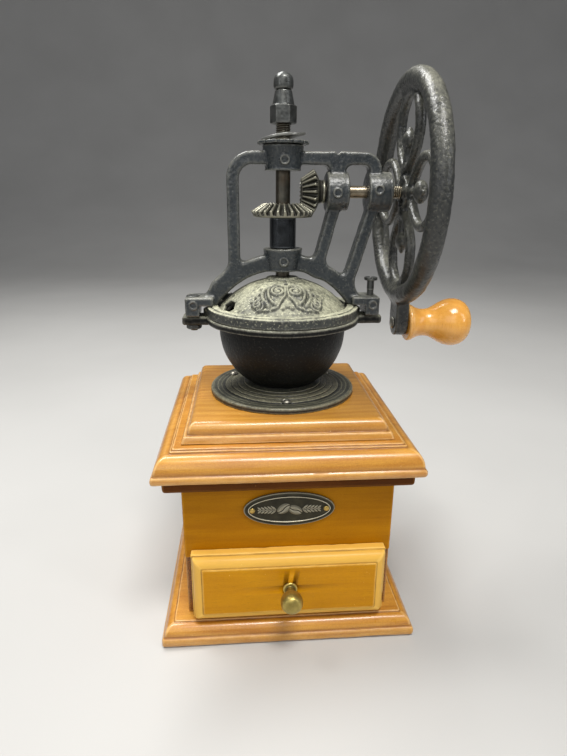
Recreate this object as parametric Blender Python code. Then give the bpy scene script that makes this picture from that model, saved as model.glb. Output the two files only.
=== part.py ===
"""Manual coffee grinder: a moulded drawer box that carries an iron hopper and a bevel geared hand wheel.

Metres, +Z up. The drawer opens towards -Y and the hand wheel stands at +X.
The origin is the middle of the underside of the base board.
"""
import math

import bmesh
import bpy
from mathutils import Matrix, Vector

MM = 0.001

# Clearances
SEAT_GAP = 0.3 * MM
RUNNING_GAP = 0.35 * MM
CUT_OVERRUN = 2.0 * MM

# Base board
BASE_SIDE = 161.0 * MM
BASE_HEIGHT = 14.0 * MM
BASE_EDGE_HEIGHT = 6.0 * MM
BASE_FOOT_CHAMFER = 1.0 * MM
BASE_LIP = 1.3 * MM
BASE_ROUND_WIDTH = 5.4 * MM
BASE_QUIRK = 0.9 * MM

# Drawer box
BOX_WIDTH = 129.0 * MM
BOX_DEPTH = 130.0 * MM
BOX_HEIGHT = 92.0 * MM
SIDE_THICKNESS = 8.0 * MM
BACK_THICKNESS = 8.0 * MM
FASCIA_THICKNESS = 9.0 * MM
FASCIA_PROUD = 2.0 * MM

# Lid: a step board, the moulded main board and the moulded top tier
STEP_SIDE = 149.0 * MM
STEP_HEIGHT = 7.8 * MM
STEP_ROUND = 2.5 * MM
LID_SIDE = 160.0 * MM
LID_EDGE_HEIGHT = 4.8 * MM
LID_FOOT_CHAMFER = 1.0 * MM
LID_LIP = 1.3 * MM
LID_ROUND_WIDTH = 7.4 * MM
LID_ROUND_RISE = 9.7 * MM
LID_LEDGE = 1.9 * MM
LID_STEP_WIDTH = 1.3 * MM
LID_STEP_RISE = 1.3 * MM
LID_HEIGHT = 17.5 * MM
TIER_SIDE = 127.0 * MM
TIER_HEIGHT = 11.2 * MM
TIER_COVE_WIDTH = 1.6 * MM
TIER_COVE_RISE = 4.0 * MM
TIER_LEDGE = 2.4 * MM
TIER_STEP_RISE = 2.2 * MM
TIER_ROUND_WIDTH = 4.8 * MM
CHUTE_RADIUS = 23.0 * MM

# Drawer
FRONT_WIDTH = 121.0 * MM
FRONT_REVEAL = 2.0 * MM
FRONT_HEIGHT = 46.7 * MM
FRONT_OVERLAP = 5.7 * MM
FRONT_EDGE_DEPTH = 5.0 * MM
FRONT_LIP = 0.9 * MM
FRONT_ROUND_WIDTH = 5.0 * MM
FRONT_ROUND_RISE = 5.2 * MM
FRONT_LEDGE = 1.0 * MM
FRONT_FIELD_RISE = 0.9 * MM
DRAWER_SIDE_GAP = 1.5 * MM
DRAWER_BOARD = 5.0 * MM
DRAWER_TOP_GAP = 7.3 * MM
DRAWER_BACK_GAP = 12.0 * MM
DRAWER_BOTTOM_BOARD = 3.0 * MM
DRAWER_BOTTOM_RISE = 2.5 * MM
DRAWER_GROOVE = 2.0 * MM

# Drawer knob and its screw
KNOB_RISE = 24.7 * MM
KNOB_WASHER_RADIUS = 4.4 * MM
KNOB_WASHER_HEIGHT = 1.2 * MM
KNOB_NECK_RADIUS = 2.6 * MM
KNOB_NECK_LENGTH = 6.8 * MM
KNOB_HEAD_RADIUS = 6.7 * MM
KNOB_HEAD_LENGTH = 10.0 * MM
KNOB_SCREW_RADIUS = 1.5 * MM
KNOB_SCREW_GRIP = 5.0 * MM
SCREW_HEAD_RADIUS = 3.4 * MM
SCREW_HEAD_HEIGHT = 1.8 * MM

# Name plate and its nails
PLATE_WIDTH = 55.4 * MM
PLATE_HEIGHT = 23.0 * MM
PLATE_THICKNESS = 1.6 * MM
PLATE_LIFT_SHARE = 0.783
PLATE_RIM_WIDTH = 1.4 * MM
PLATE_RIM_INSET = 1.8 * MM
PLATE_RIM_RISE = 0.7 * MM
NAIL_SPACING = 45.0 * MM
NAIL_HEAD_RADIUS = 1.7 * MM
NAIL_HEAD_HEIGHT = 0.9 * MM
NAIL_SHANK_RADIUS = 0.7 * MM
NAIL_LENGTH = 6.0 * MM

# Hopper casting: flange, bowl, rim and two lugs
FLANGE_RADIUS = 48.6 * MM
FLANGE_EDGE = 3.4 * MM
FLANGE_EDGE_ROUND = 0.8 * MM
FLANGE_RING_RADIUS = 38.7 * MM
FLANGE_RING_SPACING = 4.1 * MM
FLANGE_RING_RISE = 0.7 * MM
FLANGE_RINGS = 4
BOWL_RADIUS = 41.5 * MM
BOWL_WALL = 4.0 * MM
BOWL_FOOT_RADIUS = 21.33 * MM
RIM_WIDTH = 8.3 * MM
RIM_RISE = 9.5 * MM
RIM_THICKNESS = 3.8 * MM
THROAT_RADIUS = 16.5 * MM
LUG_LENGTH = 15.0 * MM
LUG_WIDTH = 15.0 * MM
LUG_HEIGHT = 5.6 * MM
LUG_CORNER = 4.0 * MM
FLANGE_SCREW_RADIUS = 2.0 * MM
FLANGE_SCREW_HEAD = 3.2 * MM
FLANGE_SCREW_CIRCLE = 38.4 * MM
FLANGE_SCREW_LENGTH = 14.0 * MM
FLANGE_SCREWS = 3

# Dome: a fixed cover with an open back half, and the hatch that turns under it
DOME_FOOT_INSET = 1.77 * MM
DOME_HEIGHT = 24.2 * MM
DOME_WALL = 2.6 * MM
BAND_INSET = 0.5 * MM
BAND_HEIGHT = 6.0 * MM
BAND_WIDTH = 7.1 * MM
BAND_BEVEL = 0.5 * MM
DOME_BACK_EDGE = 4.0 * MM
EAR_RADIUS = 7.4 * MM
EAR_INSET = 5.4 * MM
EAR_HEIGHT = 3.3 * MM
EAR_SCREW_RADIUS = 1.8 * MM
EAR_SCREW_HEAD = 3.2 * MM
EAR_SCREW_LENGTH = 7.0 * MM
EAR_SINK_GAP = 0.6 * MM
DOME_BORE_GAP = 0.9 * MM
PEEP_WIDTH = 13.6 * MM
PEEP_HEIGHT = 9.6 * MM
PEEP_AZIMUTH = math.radians(205.0)
PEEP_INSET = 10.8 * MM
HATCH_GAP = 0.7 * MM
HATCH_WALL = 2.2 * MM
HATCH_OVERLAP = math.radians(12.0)
TAB_AZIMUTH = math.radians(163.0)
TAB_INSET = 2.7 * MM
TAB_WIDTH = 3.0 * MM
TAB_HEIGHT = 5.2 * MM
TAB_LIFT = 1.2 * MM

# Shafts and what they carry
VERTICAL_RADIUS = 4.5 * MM
VERTICAL_TAIL = 4.5 * MM
HORIZONTAL_RADIUS = 3.7 * MM
SHAFT_RISE = 33.9 * MM
HORIZONTAL_START = 11.9 * MM
HORIZONTAL_TAIL = 1.6 * MM

# Arch frame casting
ARCH_DEPTH = 11.2 * MM
TOP_BAR_DEPTH = 10.6 * MM
NECK_DEPTH = 11.6 * MM
STRUT_DEPTH = 10.0 * MM
BAR_CHAMFER = 2.6 * MM
POST_X = -30.8 * MM
POST_WIDTH = 7.8 * MM
TOP_BAR_RISE = 19.1 * MM
TOP_BAR_WIDTH = 7.4 * MM
POST_CORNER_RADIUS = 12.0 * MM
ARCH_WIDTH = 9.8 * MM
ARCH_TOP_RISE = 0.7 * MM
ARCH_REACH_INSET = 3.7 * MM
ARCH_FOOT_DROP = 2.2 * MM
STRUT_WIDTH = 9.0 * MM
STRUT_TOP_DROP = 8.5 * MM
INNER_STRUT_FOOT_X = 21.5 * MM
OUTER_STRUT_FOOT_INSET = 4.5 * MM
OUTER_STRUT_FOOT_RISE = 4.7 * MM
NECK_WIDTH = 9.8 * MM
SIDE_BOSS_RADIUS = 11.6 * MM
INNER_BOSS_X = 33.2 * MM
INNER_BOSS_LENGTH = 13.6 * MM
OUTER_BOSS_INSET = 3.2 * MM
OUTER_BOSS_LENGTH = 15.0 * MM
OUTER_NECK_SHIFT = 3.0 * MM
OUTER_CORNER_RADIUS = 7.0 * MM
TOP_BOSS_RADIUS = 12.1 * MM
TOP_BOSS_WAIST = 10.7 * MM
TOP_BOSS_RISE = 7.2 * MM
TOP_BOSS_DROP = 7.3 * MM
TOP_BOSS_FLANGE = 12.8 * MM
TOP_BOSS_FLANGE_HEIGHT = 3.6 * MM
TOP_BOSS_SLOPE = 1.4 * MM
LOW_BOSS_RADIUS = 10.5 * MM
LOW_BOSS_COLLAR = 12.4 * MM
LOW_BOSS_HEIGHT = 14.0 * MM
LOW_BOSS_COLLAR_HEIGHT = 4.4 * MM
LOW_BOSS_GAP = 4.1 * MM
FOOT_INSET = 5.0 * MM
FOOT_LEG_GAP = 3.8 * MM
FOOT_LEG_WIDTH = 9.0 * MM
FOOT_DEPTH = 20.0 * MM
FOOT_HEIGHT = 12.1 * MM
FOOT_ARM = 5.2 * MM
FOOT_CORNER = 4.0 * MM

# Foot bolts
BOLT_STAND_OFF = 8.4 * MM
BOLT_RADIUS = 2.3 * MM
BOLT_HEAD_RADIUS = 4.3 * MM
BOLT_HEAD_HEIGHT = 2.0 * MM
BOLT_TAIL = 1.0 * MM
LONG_BOLT_SHORTFALL = 0.6 * MM
BOLT_LIFT = 9.6 * MM
NUT_RADIUS = 5.2 * MM
NUT_HEIGHT = 3.2 * MM

# Bevel gears
GEAR_TEETH = 28
PINION_TEETH = 18
GEAR_PITCH_RADIUS = 19.3 * MM
FACE_SHARE = 0.42
ADDENDUM_SHARE = 0.80
DEDENDUM_SHARE = 1.15
TOOTH_TIP_SHARE = 0.12
TOOTH_ROOT_SHARE = 0.29
GEAR_BACK_HEIGHT = 1.3 * MM
SLEEVE_RADIUS = 8.3 * MM
PINION_HUB_RADIUS = 7.0 * MM
PINION_HUB_LENGTH = 5.8 * MM

# Burrs
OUTER_BURR_RADIUS = 21.4 * MM
OUTER_BURR_RISE = 3.2 * MM
OUTER_BURR_HEIGHT = 17.0 * MM
OUTER_BURR_MOUTH = 15.4 * MM
OUTER_BURR_THROAT = 18.6 * MM
BURR_TOOTH_DEPTH = 1.2 * MM
BURR_GAP = 0.8 * MM
INNER_BURR_RISE = 3.2 * MM
INNER_BURR_HEIGHT = 20.0 * MM
INNER_BURR_SHOULDER = 8.0 * MM
BURR_TEETH = 12
BURR_TWIST = math.radians(24.0)
BURR_NUT_RADIUS = 7.6 * MM
BURR_NUT_HEIGHT = 4.6 * MM

# Adjusting nut, spring washer and lock plate
LOCK_PLATE_RADIUS = 15.6 * MM
LOCK_PLATE_THICKNESS = 1.8 * MM
LOCK_NOTCHES = 12
LOCK_NOTCH_DEPTH = 1.6 * MM
LOCK_NOTCH_WIDTH = 2.0 * MM
SPRING_RADIUS = 13.4 * MM
SPRING_INNER_RADIUS = 7.6 * MM
SPRING_THICKNESS = 1.1 * MM
SPRING_RISE = 4.6 * MM
SPRING_SPLIT = math.radians(24.0)
NUT_LIFT = 3.5 * MM
NUT_CORNER_RADIUS = 8.1 * MM
NUT_TURN = math.radians(-7.0)
NUT_HEX_HEIGHT = 9.9 * MM
CONE_LOW_RADIUS = 6.5 * MM
CONE_TOP_RADIUS = 4.7 * MM
CONE_HEIGHT = 7.3 * MM
BALL_RADIUS = 6.0 * MM
BALL_HEIGHT = 10.6 * MM
NUT_BORE_DEPTH = 12.0 * MM

# Hand wheel
WHEEL_STAND_OFF = 10.3 * MM
WHEEL_RING_RADIUS = 63.2 * MM
RIM_TUBE_RADIUS = 6.2 * MM
LOOP_TUBE_RADIUS = 2.8 * MM
LOOP_INNER = 15.6 * MM
LOOP_SINK = 6.4 * MM
LOOP_HALF_WIDTH = 17.4 * MM
LOOP_TAPER_SHARE = 0.04
WHEEL_LOOPS = 4
BUD_RADIUS = 5.5 * MM
BUD_REACH = 30.6 * MM
STEM_RADIUS = 3.8 * MM
HUB_RADIUS = 9.6 * MM
HUB_LENGTH = 8.2 * MM
HUB_SHIFT = 1.2 * MM
STEM_START = 7.0 * MM
STEM_END = 21.4 * MM
LUG_REACH = 20.0 * MM
LUG_BOSS_RADIUS = 8.4 * MM
LUG_BOSS_THICKNESS = 8.4 * MM
WHEEL_NUT_RADIUS = 6.4 * MM
WHEEL_NUT_HEIGHT = 3.6 * MM

# Handle knob and its pin
HANDLE_STAND_OFF = 6.4 * MM
HANDLE_COLLAR_RADIUS = 12.2 * MM
HANDLE_COLLAR_LENGTH = 2.4 * MM
HANDLE_NECK_RADIUS = 9.0 * MM
HANDLE_NECK_SPACING = 12.8 * MM
HANDLE_BULB_RADIUS = 16.0 * MM
HANDLE_BULB_SPACING = 30.4 * MM
HANDLE_LENGTH = 42.8 * MM
PIN_RADIUS = 2.9 * MM
PIN_HEAD_RADIUS = 4.6 * MM
PIN_HEAD_HEIGHT = 2.4 * MM
PIN_RIVET_RADIUS = 4.0 * MM
PIN_RIVET_HEIGHT = 1.6 * MM
PIN_RECESS_DEPTH = 4.0 * MM

# Smoothness
COARSE_SEGMENTS = 10
SMALL_SEGMENTS = 14
ROUND_SEGMENTS = 20
FINE_SEGMENTS = 32
SMOOTH_ANGLE = math.radians(35.0)

# Heights and places that follow from the sizes above
BOX_BOTTOM = BASE_HEIGHT + SEAT_GAP
BOX_TOP = BOX_BOTTOM + BOX_HEIGHT
BOX_FRONT = -BOX_DEPTH / 2
FASCIA_FRONT = BOX_FRONT - FASCIA_PROUD
FRONT_BOTTOM = BOX_BOTTOM + FRONT_REVEAL
FRONT_TOP = FRONT_BOTTOM + FRONT_HEIGHT
FASCIA_BOTTOM = FRONT_TOP - FRONT_OVERLAP
DRAWER_TOP = FASCIA_BOTTOM - DRAWER_TOP_GAP
KNOB_HEIGHT = FRONT_BOTTOM + KNOB_RISE
PLATE_CENTRE = FRONT_TOP + (BOX_TOP - FRONT_TOP - PLATE_HEIGHT) * PLATE_LIFT_SHARE + PLATE_HEIGHT / 2
STEP_BOTTOM = BOX_TOP + SEAT_GAP
LID_BOTTOM = STEP_BOTTOM + STEP_HEIGHT + SEAT_GAP
TIER_BOTTOM = LID_BOTTOM + LID_HEIGHT + SEAT_GAP
TIER_TOP = TIER_BOTTOM + TIER_HEIGHT
FLANGE_BOTTOM = TIER_TOP + SEAT_GAP
OUTER_BURR_TOP = FLANGE_BOTTOM + OUTER_BURR_RISE
INNER_BURR_TOP = OUTER_BURR_TOP + INNER_BURR_RISE
BOWL_FOOT = FLANGE_BOTTOM + FLANGE_EDGE + (FLANGE_RINGS + 1) * FLANGE_RING_RISE
BOWL_CENTRE = BOWL_FOOT + math.sqrt(BOWL_RADIUS ** 2 - BOWL_FOOT_RADIUS ** 2)
RIM_RADIUS = BOWL_RADIUS + RIM_WIDTH
LUG_END = RIM_RADIUS + LUG_LENGTH
BAND_RADIUS = RIM_RADIUS - BAND_INSET
BAND_INNER_RADIUS = BAND_RADIUS - BAND_WIDTH
DOME_FOOT = BAND_INNER_RADIUS - DOME_FOOT_INSET
EAR_CENTRE = RIM_RADIUS - EAR_INSET
PEEP_REACH = BAND_RADIUS - PEEP_INSET
TAB_REACH = BAND_RADIUS - TAB_INSET
RIM_TOP = BOWL_CENTRE + RIM_RISE
RIM_BOTTOM = RIM_TOP - RIM_THICKNESS
COVER_BOTTOM = RIM_TOP + SEAT_GAP
BAND_TOP = COVER_BOTTOM + BAND_HEIGHT
EAR_TOP = COVER_BOTTOM + EAR_HEIGHT
DOME_TOP = COVER_BOTTOM + DOME_HEIGHT
DOME_SWELL = DOME_TOP - BAND_TOP
DOME_RADIUS = (DOME_FOOT ** 2 + DOME_SWELL ** 2) / (2 * DOME_SWELL)
DOME_CENTRE = DOME_TOP - DOME_RADIUS
FOOT_BOTTOM = RIM_TOP + SEAT_GAP
FOOT_TOP = FOOT_BOTTOM + FOOT_HEIGHT
FOOT_RECESS_TOP = FOOT_TOP - FOOT_ARM
FOOT_INNER = RIM_RADIUS - FOOT_INSET
FOOT_LEG_INNER = RIM_RADIUS + FOOT_LEG_GAP
FOOT_OUTER = FOOT_LEG_INNER + FOOT_LEG_WIDTH
BOLT_X = RIM_RADIUS + BOLT_STAND_OFF
ARCH_REACH = RIM_RADIUS - ARCH_REACH_INSET
OUTER_STRUT_FOOT_X = ARCH_REACH - OUTER_STRUT_FOOT_INSET
OUTER_BOSS_X = FOOT_OUTER - OUTER_BOSS_INSET
LOW_BOSS_BOTTOM = DOME_TOP + LOW_BOSS_GAP
LOW_BOSS_TOP = LOW_BOSS_BOTTOM + LOW_BOSS_HEIGHT
ARCH_TOP = LOW_BOSS_BOTTOM + ARCH_TOP_RISE + ARCH_WIDTH / 2
ARCH_RISE = ARCH_TOP - FOOT_TOP + ARCH_FOOT_DROP
ARCH_RADIUS = (ARCH_REACH ** 2 + ARCH_RISE ** 2) / (2 * ARCH_RISE)
ARCH_CENTRE = ARCH_TOP - ARCH_RADIUS
ARCH_SPREAD = math.atan2(ARCH_REACH, ARCH_RADIUS - ARCH_RISE)
SHAFT_HEIGHT = LOW_BOSS_TOP + SHAFT_RISE
TOP_BAR_HEIGHT = SHAFT_HEIGHT + TOP_BAR_RISE
TOP_BOSS_TOP = TOP_BAR_HEIGHT + TOP_BOSS_RISE
TOP_BOSS_BOTTOM = TOP_BAR_HEIGHT - TOP_BOSS_DROP
LOCK_PLATE_TOP = TOP_BOSS_TOP + SEAT_GAP + LOCK_PLATE_THICKNESS
NUT_BOTTOM = LOCK_PLATE_TOP + SEAT_GAP + SPRING_RISE + SPRING_THICKNESS + NUT_LIFT
OUTER_NECK_X = OUTER_BOSS_X - OUTER_NECK_SHIFT
WHEEL_X = OUTER_BOSS_X + OUTER_BOSS_LENGTH / 2 + WHEEL_STAND_OFF
HUB_X = WHEEL_X + HUB_SHIFT
HUB_END = HUB_X + HUB_LENGTH / 2
HORIZONTAL_END = HUB_END + SEAT_GAP + WHEEL_NUT_HEIGHT + HORIZONTAL_TAIL
LOOP_OUTER = WHEEL_RING_RADIUS - LOOP_SINK
HANDLE_REACH = WHEEL_RING_RADIUS + LUG_REACH
HANDLE_START = WHEEL_X + HANDLE_STAND_OFF
HANDLE_NECK_X = HANDLE_START + HANDLE_NECK_SPACING
HANDLE_BULB_X = HANDLE_START + HANDLE_BULB_SPACING
HANDLE_END = HANDLE_START + HANDLE_LENGTH
HANDLE_HEIGHT = SHAFT_HEIGHT - HANDLE_REACH
GEAR_RATIO = PINION_TEETH / GEAR_TEETH


def remove_everything():
    for item in list(bpy.data.objects):
        bpy.data.objects.remove(item, do_unlink=True)


def principled(name, colour, roughness, metallic):
    material = bpy.data.materials.new(name)
    material.use_nodes = True
    shader = material.node_tree.nodes["Principled BSDF"]
    shader.inputs["Base Color"].default_value = (*colour, 1.0)
    shader.inputs["Roughness"].default_value = roughness
    shader.inputs["Metallic"].default_value = metallic
    return material


def add_object(name, bm, material, parent=None):
    """Makes an object of a bmesh whose points are in the frame of its parent's axis."""
    bmesh.ops.recalc_face_normals(bm, faces=bm.faces)
    mesh = bpy.data.meshes.new(name)
    bm.to_mesh(mesh)
    bm.free()
    item = bpy.data.objects.new(name, mesh)
    bpy.context.collection.objects.link(item)
    mesh.shade_smooth()
    mesh.set_sharp_from_angle(angle=SMOOTH_ANGLE)
    if material:
        mesh.materials.append(material)
    if parent:
        item.parent = parent
    return item


def axis_empty(name, place, parent=None):
    """An empty that stands on a joint's axis and carries the pieces that move about it."""
    empty = bpy.data.objects.new(name, None)
    bpy.context.collection.objects.link(empty)
    empty.location = place
    empty.parent = parent
    return empty


def combine(target, tool, operation="DIFFERENCE"):
    """Applies a Boolean to the target and removes the tool."""
    modifier = target.modifiers.new("combine", "BOOLEAN")
    modifier.object = tool
    modifier.operation = operation
    modifier.solver = "EXACT"
    bpy.context.view_layer.update()
    graph = bpy.context.evaluated_depsgraph_get()
    mesh = bpy.data.meshes.new_from_object(target.evaluated_get(graph))
    target.modifiers.clear()
    old = target.data
    target.data = mesh
    bpy.data.meshes.remove(old)
    bpy.data.objects.remove(tool, do_unlink=True)
    mesh.shade_smooth()
    mesh.set_sharp_from_angle(angle=SMOOTH_ANGLE)
    return target


def tool_object(bm, place=(0, 0, 0)):
    """A cutter or an addition for combine, in the same frame as its target."""
    tool = add_object("tool", bm, None)
    tool.location = place
    return tool


def skin(bm, rings, closed):
    """Joins rings of equal length, or single points, into a skin. Closed joins the last ring to the first."""
    pairs = list(zip(rings, rings[1:]))
    if closed:
        pairs.append((rings[-1], rings[0]))
    for low, high in pairs:
        count = max(len(low), len(high))
        for i in range(count):
            j = (i + 1) % count
            corners = []
            for vertex in (low[i % len(low)], low[j % len(low)], high[j % len(high)], high[i % len(high)]):
                if vertex not in corners:
                    corners.append(vertex)
            if len(corners) > 2:
                bm.faces.new(corners)


def turned(profile, segments, bored=False, start_share=0.0):
    """Revolves (radius, height) points about Z. A bored profile is a closed loop that stays off the axis."""
    bm = bmesh.new()
    rings = []
    for radius, height in profile:
        if radius == 0:
            rings.append([bm.verts.new((0, 0, height))])
            continue
        ring = []
        for i in range(segments):
            angle = 2 * math.pi * (i + start_share) / segments
            ring.append(bm.verts.new((radius * math.cos(angle), radius * math.sin(angle), height)))
        rings.append(ring)
    skin(bm, rings, bored)
    return bm


def lay_along_x(bm):
    """Turns a shape made about Z so that its height runs along +X."""
    bmesh.ops.rotate(bm, verts=bm.verts, cent=(0, 0, 0), matrix=Matrix.Rotation(math.pi / 2, 3, "Y"))
    return bm


def lay_along_front(bm):
    """Turns a shape made about Z so that its height runs towards -Y and its Y runs up."""
    bmesh.ops.rotate(bm, verts=bm.verts, cent=(0, 0, 0), matrix=Matrix.Rotation(math.pi / 2, 3, "X"))
    return bm


def shift(bm, offset):
    bmesh.ops.translate(bm, verts=bm.verts, vec=offset)
    return bm


def cylinder(radius, low, high, segments=ROUND_SEGMENTS):
    return prism(arc((0, 0), (radius, radius), 0, 2 * math.pi, segments)[:-1], low, high)


def narrow_cylinder(radius, low, high):
    """A cylinder with few sides, for screw shanks and the holes that they pass through."""
    return cylinder(radius, low, high, COARSE_SEGMENTS)


def block(low, high):
    bm = bmesh.new()
    bmesh.ops.create_cube(bm, size=1.0)
    size = Vector(high) - Vector(low)
    bmesh.ops.scale(bm, verts=bm.verts, vec=size)
    bmesh.ops.translate(bm, verts=bm.verts, vec=(Vector(high) + Vector(low)) / 2)
    return bm


def arc(centre, radii, start, end, steps):
    """Points on an arc of an ellipse, from the start angle to the end angle."""
    points = []
    for step in range(steps + 1):
        angle = start + (end - start) * step / steps
        points.append((centre[0] + radii[0] * math.cos(angle), centre[1] + radii[1] * math.sin(angle)))
    return points


def round_over(inset, height, width, rise, steps=5):
    """A convex quarter round that starts upright at an inset and height and ends level."""
    return arc((inset + width, height), (-width, rise), 0, math.pi / 2, steps)


def cove(inset, height, width, rise, steps=4):
    """A hollow quarter round that starts level and ends upright."""
    return arc((inset, height + rise), (width, -rise), math.pi / 2, 0, steps)


def moulded_board(width, depth, profile):
    """A board whose four edges follow a moulding: (inset from the edge, height) points, bottom to top."""
    bm = bmesh.new()
    rings = []
    for inset, height in profile:
        x = width / 2 - inset
        y = depth / 2 - inset
        corners = ((-1, -1), (1, -1), (1, 1), (-1, 1))
        rings.append([bm.verts.new((sx * x, sy * y, height)) for sx, sy in corners])
    skin(bm, rings, False)
    bm.faces.new(rings[0][::-1])
    bm.faces.new(rings[-1])
    return bm


def rounded_plan(low, high, corner, steps=3):
    """Outline of a rectangle in plan with rounded corners."""
    points = []
    places = ((high[0], high[1], 0), (low[0], high[1], 1), (low[0], low[1], 2), (high[0], low[1], 3))
    for x, y, quarter in places:
        cx = x - corner if x == high[0] else x + corner
        cy = y - corner if y == high[1] else y + corner
        start = quarter * math.pi / 2
        points += arc((cx, cy), (corner, corner), start, start + math.pi / 2, steps)
    return points


def prism(outline, low, high):
    """Extrudes a plan outline from one height to another."""
    bm = bmesh.new()
    rings = [[bm.verts.new((x, y, height)) for x, y in outline] for height in (low, high)]
    skin(bm, rings, False)
    bm.faces.new(rings[0][::-1])
    bm.faces.new(rings[1])
    return bm


def bar(path, width, depth, chamfer):
    """A chamfered bar along (x, z) points in the plane of the frame."""
    bm = bmesh.new()
    half = width / 2
    side = depth / 2
    section = [(half, side - chamfer), (half - chamfer, side), (chamfer - half, side),
               (-half, side - chamfer), (-half, chamfer - side), (chamfer - half, -side),
               (half - chamfer, -side), (half, chamfer - side)]
    rings = []
    for i, (x, z) in enumerate(path):
        before = path[max(i - 1, 0)]
        after = path[min(i + 1, len(path) - 1)]
        along = Vector((after[0] - before[0], after[1] - before[1])).normalized()
        across = Vector((along[1], -along[0]))
        rings.append([bm.verts.new((x + across[0] * a, b, z + across[1] * a)) for a, b in section])
    skin(bm, rings, False)
    bm.faces.new(rings[0])
    bm.faces.new(rings[-1])
    return bm


def tube_loop(points, radius, segments, axial=None):
    """A closed tube along (y, z) points in a plane square to X."""
    bm = bmesh.new()
    axial = axial or radius
    rings = []
    for i, (y, z) in enumerate(points):
        before = points[i - 1]
        after = points[(i + 1) % len(points)]
        along = Vector((after[0] - before[0], after[1] - before[1])).normalized()
        across = Vector((along[1], -along[0]))
        ring = []
        for k in range(segments):
            angle = 2 * math.pi * k / segments
            reach = radius * math.cos(angle)
            ring.append(bm.verts.new((axial * math.sin(angle), y + across[0] * reach, z + across[1] * reach)))
        rings.append(ring)
    skin(bm, rings, True)
    return bm


def hexagon(corner_radius, low, high):
    """A hexagonal prism about Z."""
    return cylinder(corner_radius, low, high, 6)


def base_profile():
    lip = BASE_EDGE_HEIGHT + BASE_LIP / 2
    rise = BASE_HEIGHT - BASE_QUIRK - lip
    points = [(BASE_FOOT_CHAMFER, 0), (0, BASE_FOOT_CHAMFER), (0, BASE_EDGE_HEIGHT), (BASE_LIP, lip)]
    points += round_over(BASE_LIP, lip, BASE_ROUND_WIDTH, rise)[1:]
    inset = BASE_LIP + BASE_ROUND_WIDTH
    points += [(inset + BASE_QUIRK, BASE_HEIGHT - BASE_QUIRK), (inset + BASE_QUIRK, BASE_HEIGHT)]
    return points


def step_profile():
    """The step board has a rounded lower edge."""
    return [*arc((STEP_ROUND, STEP_ROUND), (-STEP_ROUND, -STEP_ROUND), math.pi / 2, 0, 3), (0, STEP_HEIGHT)]


def lid_profile():
    lip = LID_EDGE_HEIGHT + LID_LIP / 2
    points = [(LID_FOOT_CHAMFER, 0), (0, LID_FOOT_CHAMFER), (0, LID_EDGE_HEIGHT), (LID_LIP, lip)]
    points += round_over(LID_LIP, lip, LID_ROUND_WIDTH, LID_ROUND_RISE)[1:]
    inset = LID_LIP + LID_ROUND_WIDTH + LID_LEDGE
    height = lip + LID_ROUND_RISE
    points += [(inset, height), (inset, height + LID_STEP_RISE)]
    inset += LID_STEP_WIDTH
    points += [(inset, height + LID_STEP_RISE), (inset, LID_HEIGHT)]
    return points


def tier_profile():
    points = cove(0, 0, TIER_COVE_WIDTH, TIER_COVE_RISE)
    inset = TIER_COVE_WIDTH + TIER_LEDGE
    height = TIER_COVE_RISE + TIER_STEP_RISE
    points += [(inset, TIER_COVE_RISE), (inset, height)]
    points += round_over(inset, height, TIER_ROUND_WIDTH, TIER_HEIGHT - height)[1:]
    return points


def front_profile():
    lip = FRONT_EDGE_DEPTH + FRONT_LIP / 2
    points = [(0, 0), (0, FRONT_EDGE_DEPTH), (FRONT_LIP, lip)]
    points += round_over(FRONT_LIP, lip, FRONT_ROUND_WIDTH, FRONT_ROUND_RISE)[1:]
    inset = FRONT_LIP + FRONT_ROUND_WIDTH + FRONT_LEDGE
    height = lip + FRONT_ROUND_RISE
    points += [(inset, height), (inset, height + FRONT_FIELD_RISE)]
    return points


def build_base(wood):
    return add_object("base_board", moulded_board(BASE_SIDE, BASE_SIDE, base_profile()), wood)


def build_box(wood, dark_wood):
    """Two notched side panels, a back panel between them, and the fascia let into the notches."""
    bottom = BOX_BOTTOM
    back = BOX_DEPTH / 2
    fascia_back = FASCIA_FRONT + FASCIA_THICKNESS
    for name, side in (("side_panel_left", -1), ("side_panel_right", 1)):
        outer = side * BOX_WIDTH / 2
        inner = side * (BOX_WIDTH / 2 - SIDE_THICKNESS)
        low_x, high_x = min(outer, inner), max(outer, inner)
        panel = add_object(name, block((low_x, BOX_FRONT, bottom), (high_x, back, BOX_TOP)), wood)
        notch = block((low_x - CUT_OVERRUN, BOX_FRONT - CUT_OVERRUN, FASCIA_BOTTOM - SEAT_GAP),
                      (high_x + CUT_OVERRUN, fascia_back + SEAT_GAP, BOX_TOP + CUT_OVERRUN))
        combine(panel, tool_object(notch))
    inside = BOX_WIDTH / 2 - SIDE_THICKNESS - SEAT_GAP
    add_object("back_panel", block((-inside, back - BACK_THICKNESS, bottom), (inside, back, BOX_TOP)), wood)
    fascia = add_object("front_fascia", block((-BOX_WIDTH / 2, FASCIA_FRONT, FASCIA_BOTTOM),
                                              (BOX_WIDTH / 2, fascia_back, BOX_TOP)), dark_wood)
    for x in (-NAIL_SPACING / 2, NAIL_SPACING / 2):
        hole = lay_along_front(narrow_cylinder(NAIL_SHANK_RADIUS + RUNNING_GAP, -NAIL_LENGTH, CUT_OVERRUN))
        combine(fascia, tool_object(hole, (x, FASCIA_FRONT, PLATE_CENTRE)))


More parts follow.
